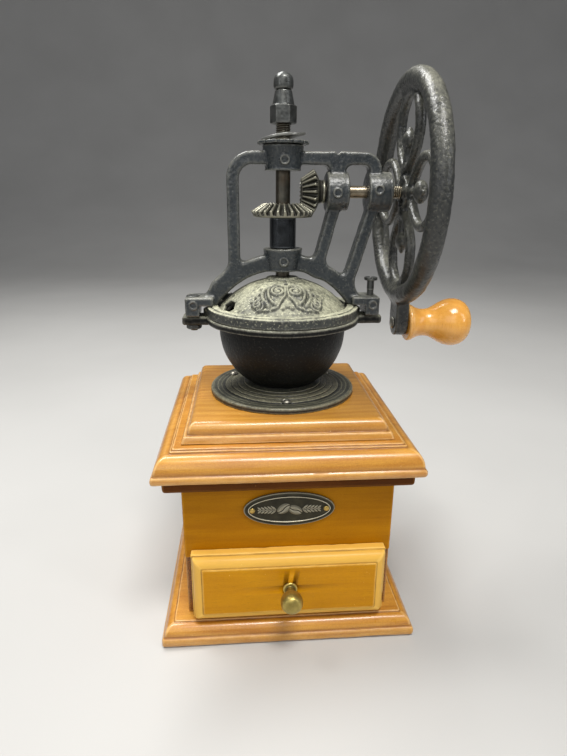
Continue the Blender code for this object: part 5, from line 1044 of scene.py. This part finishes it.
def hatch():
    f = Field((-52, -16, 195.6), (52, 52, 219.0), 0.5)
    x, y, z = f.x, f.y, f.z
    rho = np.hypot(x, y)
    from_centre = np.sqrt(rho ** 2 + (z - 166.5) ** 2)
    shell = smax(from_centre - 50.7, 48.5 - from_centre, 0.5)
    shell = np.maximum(shell, 196.3 - z)
    edge = math.radians(12)
    sector = np.minimum(np.maximum(-y - np.abs(x) * math.tan(edge), -100), rho - 9.6)
    d = smax(shell, sector, 0.5)
    d = smax(d, 5.4 - rho, 0.4)
    tab = math.radians(163)
    along = x * math.cos(tab) + y * math.sin(tab)
    beside = -x * math.sin(tab) + y * math.cos(tab)
    thumb = box_field(along, beside, z, (34.5, -1.5, 203.5), (46.6, 1.5, 208.7), 0.9)
    d = smin(d, np.maximum(thumb, 48.8 - from_centre), 1.0)
    d = d + 0.06 * lumps(x, y, z, 1.8, 21) + 0.08 * lumps(x, y, z, 5.0, 22)
    return f.mesh(d)


verts, faces = hatch()
piece("hatch_shell", make_mesh("hatch_shell", verts, faces, curvature_layers(verts, faces, 8, 5.0)),
      "hatch",
      CAST, "dome_hatch")


# Frame

def frame_casting():
    f = Field((-65.5, -14, 194.5), (69.5, 14, 300.5), 0.45)
    x, y, z = f.x, f.y, f.z
    u, w = x, z
    reach = math.radians(58)
    bar_line = [(-30.8, 224)] + arc(-18.8, 279.6, 12, 12, 180, 90, 8)
    bar_line += arc(49.4, 284.6, 7, 7, 90, 0, 6) + [(56.4, 276)]
    bars = path2(u, w, bar_line) - 3.75
    rho = np.hypot(u, w - 173.9)
    spread = np.abs(np.arctan2(u, w - 173.9))
    hoop = np.abs(rho - 56.3) - 4.9
    ends = np.hypot(np.abs(u) - 56.3 * math.sin(reach), w - 173.9 - 56.3 * math.cos(reach)) - 4.9
    hoop = np.where(spread < reach, hoop, ends)
    struts = np.minimum(path2(u, w, [(33.7, 270), (21.9, 225)]),
                        path2(u, w, [(58.2, 270), (41.8, 215)])) - 3.65
    neck = path2(u, w, [(33.2, 289), (33.2, 275)]) - 4.9
    plane = smin(smin(bars, neck, 5.0), struts, 4.5)
    plane = smin(plane, hoop, 5.0)
    flare = path2(u, w, [(-30.8, 224), (-41.5, 214)]) - 3.6
    plane = smin(plane, flare, 5.0)
    depth = 5.35 + 0.25 * np.clip((225 - w) / 10, 0, 1)
    d = extrude(plane, y, depth, 1.5)
    top = np.hypot(x, y)
    profile = np.interp(z[0, 0], [284.3, 285.6, 298.8], [11.3, 10.8, 12.5])[None, None]
    d = smin(d, extrude(top - profile, z - 291.55, 7.25, 0.8), 1.4)
    profile = np.interp(z[0, 0], [224.6, 225.8, 238.6], [11.0, 10.5, 12.4])[None, None]
    d = smin(d, extrude(top - profile, z - 231.6, 7.0, 0.8), 1.4)
    side = np.hypot(y, z - 272.5)
    for low, high in ((26.4, 40.0), (51.9, 66.9)):
        middle, half = (low + high) / 2, (high - low) / 2
        barrel = 11.9 - 0.5 * ((x - middle) / half) ** 2
        lip = 0.25 * np.exp(-((np.abs(x - middle) - half + 0.9) / 0.7) ** 2)
        d = smin(d, extrude(side - barrel - lip, x - middle, half, 1.0), 1.3)
    for s in (-1, 1):
        block = box_field(s * x, y, z, (44.6, -10.1, 196.3), (62.7, 10.1, 208.4), 1.3)
        d = smin(d, block, 2.5)
        well = box_field(s * x, y, z, (38.0, -16, 188), (53.6, 16, 203.2), 0.8)
        d = smax(d, -well, 0.7)
        d = smax(d, -(np.hypot(x - s * 58.2, y) - 2.65), 0.4)
    d = np.maximum(d, 196.3 - z)
    d = smax(d, -np.maximum(np.hypot(x + 58.2, y) - 4.7, 206.4 - z), 0.5)
    d = smax(d, 4.85 - top, 0.5)
    d = smax(d, -np.maximum(side - 4.05, 24 - x), 0.5)
    for cx, cz, front in ((0.2, 290.2, 11.45), (0.0, 231.0, 11.3), (32.3, 271.8, 11.9), (57.8, 273.7, 11.9),
                          (-57.4, 203.7, 10.1), (58.2, 203.3, 10.1)):
        ring = np.sqrt((np.hypot(x - cx, z - cz) - 2.4) ** 2 + (y + front) ** 2) - 0.6
        d = smin(d, ring, 0.5)
    notch = np.abs(x - 32.8) * 0.8 + (293.9 - z)
    d = smax(d, -np.maximum(notch, np.abs(y) - 20), 0.4)
    skin = 0.10 * lumps(x, y, z, 1.4, 31) + 0.07 * lumps(x, y, z, 4.5, 32) + 0.12 * lumps(x, y, z, 12.0, 33)
    return f.mesh(d + skin)


verts, faces = frame_casting()
layers = curvature_layers(verts, faces, 8, 3.2)
piece("arch_casting", make_mesh("arch_casting", verts, faces, layers), "stand", CAST,
      "arch_frame")


# Bolts and nuts

def hex_nut(place, corner, low, high, bore, turn=0.0, cell=0.22, chamfer=0.6):
    """A forged hexagon nut with its corners turned down at both ends, along Z."""
    r = corner + 0.6
    f = Field((-r, -r, low - 0.6), (r, r, high + 0.6), cell)
    x, y, z = f.x, f.y, f.z
    rho = np.hypot(x, y)
    d = extrude(hexagon2(x, y, corner, math.radians(turn)), z - (low + high) / 2, (high - low) / 2, 0.25)
    slope = math.tan(math.radians(35))
    d = smax(d, (rho - corner + chamfer / slope) * slope - (high - z), 0.3)
    d = smax(d, (rho - corner + chamfer / slope) * slope - (z - low), 0.3)
    d = smax(d, bore - rho, 0.35)
    d = d + 0.05 * lumps(x, y, z, 1.1, 41)
    v, faces = f.mesh(d)
    layers = curvature_layers(v, faces, 5, 7.0)
    return v + np.array(place, float), faces.tolist(), layers["wear"] - layers["crease"]


def thread(radius, low, high, pitch, depth, segments=36, per_turn=10):
    """A rod with a real screw thread along Z, as (verts, faces, marks)."""
    rows = max(4, int((high - low) / pitch * per_turn))
    verts, layer, faces = [], [], []
    for i in range(rows + 1):
        z = low + (high - low) * i / rows
        fade = min(1.0, min(z - low, high - z) / (pitch * 0.8))
        for s in range(segments):
            a = 2 * math.pi * s / segments
            phase = (z / pitch - s / segments) % 1.0
            crest = min(1.0, max(0.0, 1.6 * abs(phase * 2 - 1) - 0.3))
            r = radius - depth * (1 - crest) * fade
            verts.append((r * math.cos(a), r * math.sin(a), z))
            layer.append((crest * 1.4 - 0.7) * fade)
    for i in range(rows):
        for s in range(segments):
            t = (s + 1) % segments
            faces.append([i * segments + s, i * segments + t, (i + 1) * segments + t,
                          (i + 1) * segments + s])
    for row, z, up in ((0, low, False), (rows, high, True)):
        verts.append((0, 0, z))
        layer.append(0)
        m = len(verts) - 1
        for s in range(segments):
            t = (s + 1) % segments
            a, b = row * segments + s, row * segments + t
            faces.append([a, b, m] if up else [b, a, m])
    return np.array(verts, float), faces, np.array(layer)


def to_x(shape, place):
    v, f, m = shape
    return np.stack([v[:, 2], v[:, 1], -v[:, 0]], 1) + np.array(place, float), f, m


def bolt(name, x, seat, end, stands_for, turn, material):
    """A cheese headed bolt with a sawn slot and a threaded shank."""
    f = Field((-5, -5, -0.7), (5, 5, 2.7), 0.2)
    rho = np.hypot(f.x, f.y)
    d = drum(rho, f.z, 4.3, 0, 2.0, 0.4)
    c, s = math.cos(math.radians(turn)), math.sin(math.radians(turn))
    d = smax(d, -np.maximum(np.abs(-f.x * s + f.y * c) - 0.5, 1.0 - f.z), 0.25)
    v, faces = f.mesh(d)
    layers = curvature_layers(v, faces, 4, 8.0)
    head = (v + np.array([x, 0, seat]), faces.tolist(), layers["wear"] - layers["crease"])
    plain = soft_turned([(0, seat - 6), (2.3, seat - 6), (2.3, seat + 0.2), (0, seat + 0.2)], 0.1, 32, "Z",
                        (x, 0, 0))
    low = thread(2.3, end, seat - 5.8, 0.8, 0.32)
    parts = [head, plain, lift(low, x=x)]
    v, faces, m = join_parts(parts)
    piece(name, make_mesh(name, v, faces, wear_layers(m)), "stand", material, stands_for)


bolt("foot_bolt_slotted_left", -58.2, 206.7, 185.9, "foot_bolt_left", 35, BLACK_STEEL)
bolt("foot_bolt_slotted_right", 58.2, 218.0, 191.0, "foot_bolt_right", 80, BLACK_STEEL)
v, f, m = hex_nut((-58.2, 0, 0), 5.2, 186.9, 190.1, 2.5, turn=10)
piece("foot_nut_forged", make_mesh("foot_nut_forged", v, f, wear_layers(m)), "stand",
      BLACK_STEEL, "foot_nut")


# Lock plate, washer and adjusting nut

def lock_plate():
    f = Field((-16.8, -16.8, 298.4), (16.8, 16.8, 301.6), 0.25)
    x, y, z = f.x, f.y, f.z
    rho = np.hypot(x, y)
    d = drum(rho, z, 15.6, 299.1, 300.9, 0.35)
    for i in range(12):
        a = math.radians((i + 0.5) * 30)
        along, across = x * math.cos(a) + y * math.sin(a), -x * math.sin(a) + y * math.cos(a)
        d = smax(d, -np.maximum(14.0 - along, np.abs(across) - 1.0), 0.4)
    d = smax(d, 4.85 - rho, 0.3)
    d = d + 0.07 * lumps(x, y, z, 1.2, 51)
    return f.mesh(d)


verts, faces = lock_plate()
piece("lock_plate_notched", make_mesh("lock_plate_notched", verts, faces,
                                      curvature_layers(verts, faces, 5, 6.0)),
      "stand", CAST, "lock_plate")


def spring_washer():
    """One turn of spring steel that climbs from left to right, with its cut at the right."""
    steps = 120
    section, marks = soften([(7.6, 0), (13.4, 0), (13.4, 1.5), (7.6, 1.5)], 0.3, 3, True, fade=0.5,
                            convex=1)
    verts, layer, faces = [], [], []
    n = len(section)
    for i in range(steps + 1):
        share = i / steps
        a = math.radians(12 + 336 * share)
        base = 301.15 + 3.3 * (1 + math.cos(a)) / 2 + 0.35 * math.sin(3 * a + 0.6)
        for (r, h), m in zip(section, marks):
            verts.append((r * math.cos(a), r * math.sin(a), base + h))
            layer.append(m)
    for i in range(steps):
        for s in range(n):
            t = (s + 1) % n
            faces.append([i * n + s, i * n + t, (i + 1) * n + t, (i + 1) * n + s][::-1])
    faces.append(list(range(n)))
    faces.append([steps * n + s for s in range(n)][::-1])
    return np.array(verts, float), faces, np.array(layer)


v, f, m = spring_washer()
piece("spring_washer_steel", make_mesh("spring_washer_steel", v, f, wear_layers(m)), "stand",
      BLACK_STEEL, "spring_washer")


def adjusting_nut():
    f = Field((-9, -9, 309.8), (9, 9, 339), 0.26)
    x, y, z = f.x, f.y, f.z
    rho = np.hypot(x, y)
    d = extrude(hexagon2(x, y, 8.1, math.radians(-7)), z - 315.35, 4.95, 0.3)
    for sign, end in ((1, 320.3), (-1, 310.4)):
        d = smax(d, (rho - 7.3) * 0.7 - sign * (end - z), 0.3)
    cone = extrude(rho - (6.6 + (5.1 - 6.6) * (z - 320.3) / 7.3), z - 323.8, 4.3, 0.4)
    ball = (np.sqrt((rho / 6.05) ** 2 + (np.maximum(z - 332.4,
                                                    (332.4 - z) * 1.1 - 1.2) / 5.6) ** 2) - 1) * 5.6
    ball = smax(ball, np.maximum(rho - 6.05, 328.6 - z), 0.8)
    d = smin(smin(d, cone, 0.6), ball, 0.9)
    d = smax(d, -np.maximum(rho - 4.85, z - 322.4), 0.3)
    d = d + 0.05 * lumps(x, y, z, 1.3, 61)
    return f.mesh(d)


verts, faces = adjusting_nut()
piece("adjusting_nut_forged", make_mesh("adjusting_nut_forged", verts, faces,
                                        curvature_layers(verts, faces, 5, 7.0)),
      "adjuster", BLACK_STEEL, "adjusting_nut")


# Gears and shafts

def bevel(teeth, mate, phase, body):
    """Straight bevel gear, apex at the origin, teeth towards -Z, as (verts, faces, marks)."""
    pitch_radius = 19.3 * teeth / 28
    cone = math.atan2(teeth, mate)
    length = pitch_radius / math.sin(cone)
    module = 2 * pitch_radius / teeth
    along = np.array([math.sin(cone), math.cos(cone)])
    outward = np.array([math.cos(cone), -math.sin(cone)])
    tip = along * length + outward * module * 0.8
    root = along * length - outward * module * 1.15
    pitch = 2 * math.pi / teeth
    shares = [-0.5, -0.31, -0.285, -0.23, -0.165, -0.125, -0.09, 0.0, 0.09, 0.125, 0.165, 0.23, 0.285, 0.31]
    rise = [0, 0, 0.06, 0.36, 0.74, 0.95, 1, 1, 1, 0.95, 0.74, 0.36, 0.06, 0]
    mark = [-0.6, -0.7, -0.5, 0, 0.5, 1, 0.8, 0.6, 0.8, 1, 0.5, 0, -0.5, -0.7]
    verts, layer, rows = [], [], []
    levels = [(0.58, 0.12), (0.592, 0.0), (0.62, 0.0), (0.95, 0.0), (0.988, 0.0), (1.0, 0.12)]
    for scale, drop in levels:
        row = []
        for tooth in range(teeth):
            for s, h, m in zip(shares, rise, mark):
                h = max(0.0, h - drop * (h > 0.5))
                p = (root + (tip - root) * h) * scale
                a = phase + (tooth + s) * pitch
                row.append(len(verts))
                verts.append((p[0] * math.cos(a), p[0] * math.sin(a), -p[1]))
                layer.append(max(m, 0.7) if drop and h > 0.5 else m)
        rows.append(row)
    for radius, depth, m in body:
        row = []
        for tooth in range(teeth):
            for s in shares:
                a = phase + (tooth + s) * pitch
                row.append(len(verts))
                verts.append((radius * math.cos(a), radius * math.sin(a), -depth))
                layer.append(m)
        rows.append(row)
    faces = []
    n = len(rows[0])
    for low, high in zip(rows, rows[1:] + rows[:1]):
        for s in range(n):
            t = (s + 1) % n
            faces.append([low[s], high[s], high[t], low[t]])
    return np.array(verts, float), faces, np.array(layer)


gear = bevel(28, 18, 0.0, [(18.5, 13.95, 0.6), (18.35, 14.8, 0.4), (18.0, 15.04, 0.3), (9.0, 15.04, 0),
                           (4.8, 15.04, 0),
                           (4.8, 7.9, -0.4), (5.6, 7.5, 0.5), (6.4, 7.75, 0), (9.9, 7.9, -0.5)])
v, f, m = gear
v = v + np.array([0, 0, 272.5])
piece("bevel_gear_cut", make_mesh("bevel_gear_cut", v, f, wear_layers(m)), "grinder",
      GEAR_STEEL,
      "bevel_gear")
pinion = bevel(18, 28, math.pi / 18,
               [(10.6, 20.6, 0.5), (8.2, 21.7, -0.3), (7.0, 21.9, -0.4), (7.0, 23.4, 0.4),
                                      (6.6, 23.6, -0.5), (6.6, 24.0, -0.5), (7.0, 24.2, 0.5),
                                      (7.0, 25.3, 0.7), (6.5, 25.9, 0.8),
                                      (4.1, 25.9, 0), (4.1, 11.6, 0), (5.6, 11.45, 0.4)])
v, f, m = pinion
v = np.stack([-v[:, 2], v[:, 1], v[:, 0]], 1) + np.array([0, 0, 272.5])
piece("pinion_gear_cut", make_mesh("pinion_gear_cut", v, f, wear_layers(m)), "crank",
      GEAR_STEEL,
      "pinion_gear")

sleeve = soft_turned([(4.8, 238.9), (8.3, 238.9), (8.3, 257.16), (4.8, 257.16)], 0.5, 64)
v, f, m = sleeve
piece("gear_sleeve_steel", make_mesh("gear_sleeve_steel", v, f, wear_layers(m)), "grinder",
      DARK_STEEL,
      "gear_sleeve")

parts = [soft_turned([(0, 121), (4.5, 121), (4.5, 300.2), (0, 300.2)], 0.4, 48),
         thread(4.5, 299.8, 322.1, 1.25, 0.5, 48)]
v, f, m = join_parts(parts)
piece("vertical_shaft_steel", make_mesh("vertical_shaft_steel", v, f, wear_layers(m)), "grinder",
      DARK_SHAFT, "vertical_shaft")
parts = [soft_turned([(0, 11.9), (3.7, 11.9), (3.7, 68.4), (0, 68.4)], 0.5, 40, "X", (0, 0, 272.5)),
         to_x(thread(3.7, 68.0, 88.0, 1.2, 0.42, 40), (0, 0, 272.5))]
v, f, m = join_parts(parts)
piece("horizontal_shaft_steel", make_mesh("horizontal_shaft_steel", v, f, wear_layers(m)), "crank",
      SHAFT_STEEL, "horizontal_shaft")


def solid_of(name):
    """The carried over solid's own mesh box, in millimetres."""
    low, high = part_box(name)
    return np.array(low) / MM, np.array(high) / MM


NODES["outer_burr"].material_slots[0].material = DARK_STEEL
NODES["inner_burr"].material_slots[0].material = DARK_STEEL
low, high = solid_of("burr_nut")
v, f, m = hex_nut((0, 0, 0), (high[0] - low[0]) / 2, low[2], high[2], 4.8, cell=0.3)
piece("burr_nut_forged", make_mesh("burr_nut_forged", v, f, wear_layers(m)), "grinder",
      DARK_STEEL,
      "burr_nut")


# Wheel

PETAL = bend([(12.6, 0), (14.2, 4.0), (18.0, 9.4), (24.0, 14.8), (31.0, 18.2), (38.6, 19.1), (46.6, 16.9),
              (53.0, 11.4), (56.4, 4.8), (57.0, 0)], 6)


def wheel_casting():
    f = Field((68.6, -71, 179.5), (85.4, 71, 343.5), 0.52)
    x, y, z = f.x - 77.2, f.y, f.z - 272.5
    rho = np.hypot(y, z)
    angle = np.arctan2(y, z)
    wave = 0.25 * np.sin(3 * angle + 0.6) + 0.15 * np.sin(7 * angle)
    d = np.sqrt((rho - 63.1) ** 2 + x ** 2) - 6.15 - 0.12 * wave
    quarter = np.round(angle / (math.pi / 2)) * (math.pi / 2)
    c, s = np.cos(quarter), np.sin(quarter)
    out = z * c + y * s
    across = np.abs(-z * s + y * c)
    loop = np.sqrt(path2(out, across, PETAL) ** 2 + (x * 0.95) ** 2) - 2.9
    d = smin(d, loop, 3.0)
    breadth = 6.6 + (30.2 - out) * 0.12
    bud = (np.sqrt(((out - 30.2) / 5.6) ** 2 + (across / breadth) ** 2 + (x / 4.2) ** 2) - 1) * 4.9
    point = np.sqrt(path2(out, across, [(31, 0), (36.4, 0)]) ** 2 + x ** 2) - 1.0
    stem = np.sqrt(path2(out, across, [(4, 0), (27, 0)]) ** 2 + x ** 2) - np.clip(4.4 - out * 0.07, 2.6,
                                                                                  4.4)
    inner = smin(smin(bud, point, 2.0), stem, 3.4)
    d = smin(d, inner, 2.0)
    hub = extrude(rho - 9.6, x - 1.2, 4.1, 1.2)
    d = smin(d, hub, 2.6)
    lug = extrude(path2(y, z, [(0, -66), (0, -83.2)]) - 8.4, x - 1.9, 4.2, 1.0)
    d = smin(d, lug, 3.0)
    d = smax(d, 4.05 - rho, 0.4)
    d = smax(d, 3.25 - np.hypot(y, z + 83.2), 0.4)
    skin = 0.14 * lumps(f.x, f.y, f.z, 1.3, 71) + 0.10 * lumps(f.x, f.y, f.z, 3.4, 72)
    skin = skin + 0.14 * lumps(f.x, f.y, f.z, 9.0, 73)
    return f.mesh(d + skin)


verts, faces = wheel_casting()
piece("wheel_casting", make_mesh("wheel_casting", verts, faces, curvature_layers(verts, faces, 8, 3.0)),
      "crank",
      CAST_WHEEL, "crank_wheel")
v, f, m = to_x(hex_nut((0, 0, 0), 6.4, 82.9, 86.3, 3.8, turn=12), (0, 0, 272.5))
piece("wheel_nut_forged", make_mesh("wheel_nut_forged", v, f, wear_layers(m)), "crank",
      BLACK_STEEL,
      "wheel_nut")


# Handle

KNOB = [(3.2, 83.6), (11.4, 83.6), (12.2, 84.4), (12.25, 86.0), (11.6, 87.4), (10.2, 89.6), (9.3, 92.6),
        (9.0, 96.0),
        (9.5, 99.0), (11.0, 102.2), (13.2, 105.8), (15.0, 109.6), (15.9, 113.2), (15.95, 116.4),
        (15.3, 119.6),
        (13.7, 122.6), (11.2, 124.9), (8.2, 126.1), (5.9, 126.4), (5.1, 126.1), (4.95, 125.5), (4.9, 122.4),
        (3.2, 122.4)]
v, f, m = soft_turned(KNOB, 0.8, 96, "X", (0, 0, 189.3), least=20)
v = ripple_verts(v, 0.08, 0.08, 5.0)
piece("handle_knob_wood", make_mesh("handle_knob_wood", v, f, wear_layers(m)), "handle",
      KNOB_WOOD,
      "handle_knob")
pin = [(0, 73.05), (1.6, 73.15), (3.0, 73.55), (3.9, 74.3), (3.95, 74.6), (2.9, 74.65), (2.9, 122.65),
       (4.6, 122.7),
       (4.6, 124.8), (4.2, 125.1), (0, 125.15)]
v, f, m = soft_turned(pin, 0.2, 40, "X", (0, 0, 189.3), least=22)
piece("handle_pin_steel", make_mesh("handle_pin_steel", v, f, wear_layers(m)), "crank", STEEL,
      "handle_pin")


# Floor, light and camera

def floor_material():
    t = Tree("studio_floor")
    cloud = t.noise(3.0, 3.0, 0.5)
    grain = t.noise(900, 2.0, 0.5)
    colour = t.mix(t.span(cloud, 0.3, 0.7), rgb(180, 179, 176), rgb(188, 187, 184))
    rough = t.span(grain, 0.3, 0.7, 0.7, 0.8)
    return t.finish(colour, rough, t.bump(grain, 0.0001, 0.2))


def backdrop():
    """A floor that curves up into a wall, as in a photographer's studio."""
    section = [(-5.0, 0.0), (1.6, 0.0)]
    section += [(1.6 + 1.8 * math.sin(math.radians(a)),
                 1.8 * (1 - math.cos(math.radians(a)))) for a in range(6, 91, 6)]
    section.append((3.4, 6.0))
    verts = [(x, y, z) for y, z in section for x in (-7.0, 7.0)]
    faces = [(2 * i, 2 * i + 1, 2 * i + 3, 2 * i + 2) for i in range(len(section) - 1)]
    mesh = bpy.data.meshes.new("backdrop")
    mesh.from_pydata(verts, [], faces)
    mesh.polygons.foreach_set("use_smooth", [True] * len(mesh.polygons))
    mesh.materials.append(floor_material())
    return mesh


floor_object = bpy.data.objects.new("backdrop", backdrop())
floor_object.location.z = -0.0004
bpy.context.scene.collection.objects.link(floor_object)

world = bpy.data.worlds.new("studio")
bpy.context.scene.world = world
world.use_nodes = True
background = world.node_tree.nodes["Background"]
background.inputs["Color"].default_value = (0.93, 0.95, 1.0, 1.0)
background.inputs["Strength"].default_value = 0.22


def softbox(name, place, target, size, power, colour=(1, 1, 1)):
    light = bpy.data.lights.new(name, "AREA")
    light.shape = "RECTANGLE"
    light.size, light.size_y = size
    light.energy = power
    light.color = colour
    made = bpy.data.objects.new(name, light)
    made.location = place
    made.rotation_euler = (Vector(target) - Vector(place)).to_track_quat("-Z", "Y").to_euler()
    bpy.context.scene.collection.objects.link(made)


softbox("key", (0.15, -0.55, 1.35), (0, 0, 0.12), (0.45, 0.3), 15, (1.0, 0.985, 0.96))
softbox("ceiling", (-0.4, 0.35, 1.2), (0, 0, 0.2), (0.9, 0.22), 15, (1.0, 0.995, 0.98))
softbox("fill", (-0.3, -1.4, 0.9), (0, 0, 0.15), (1.0, 1.0), 5, (1.0, 0.99, 0.97))
softbox("right_strip", (1.0, -0.75, 0.75), (0, 0, 0.22), (0.2, 0.8), 2.8, (0.97, 0.98, 1.0))
softbox("left_strip", (-0.85, -0.65, 0.6), (0, 0, 0.24), (0.12, 0.6), 1.2, (0.97, 0.98, 1.0))

yaw, pitch, roll = (math.radians(a) for a in (4.355, 18.825, 0.374))
ahead = Vector((math.sin(yaw) * math.cos(pitch), math.cos(yaw) * math.cos(pitch), -math.sin(pitch)))
side = Vector((math.cos(yaw), -math.sin(yaw), 0))
above = side.cross(ahead)
right = math.cos(roll) * side + math.sin(roll) * above
upward = -math.sin(roll) * side + math.cos(roll) * above
camera = bpy.data.cameras.new("camera")
camera.lens = 25.42
camera.sensor_width = 36
camera.sensor_fit = "AUTO"
camera.clip_start = 0.01
camera_object = bpy.data.objects.new("camera", camera)
turn = Matrix((right, upward, -ahead)).transposed().to_4x4()
camera_object.matrix_world = Matrix.Translation((-0.0254, -0.3479, 0.2699)) @ turn
bpy.context.scene.collection.objects.link(camera_object)
bpy.context.scene.camera = camera_object
bpy.context.scene.view_settings.view_transform = "Standard"
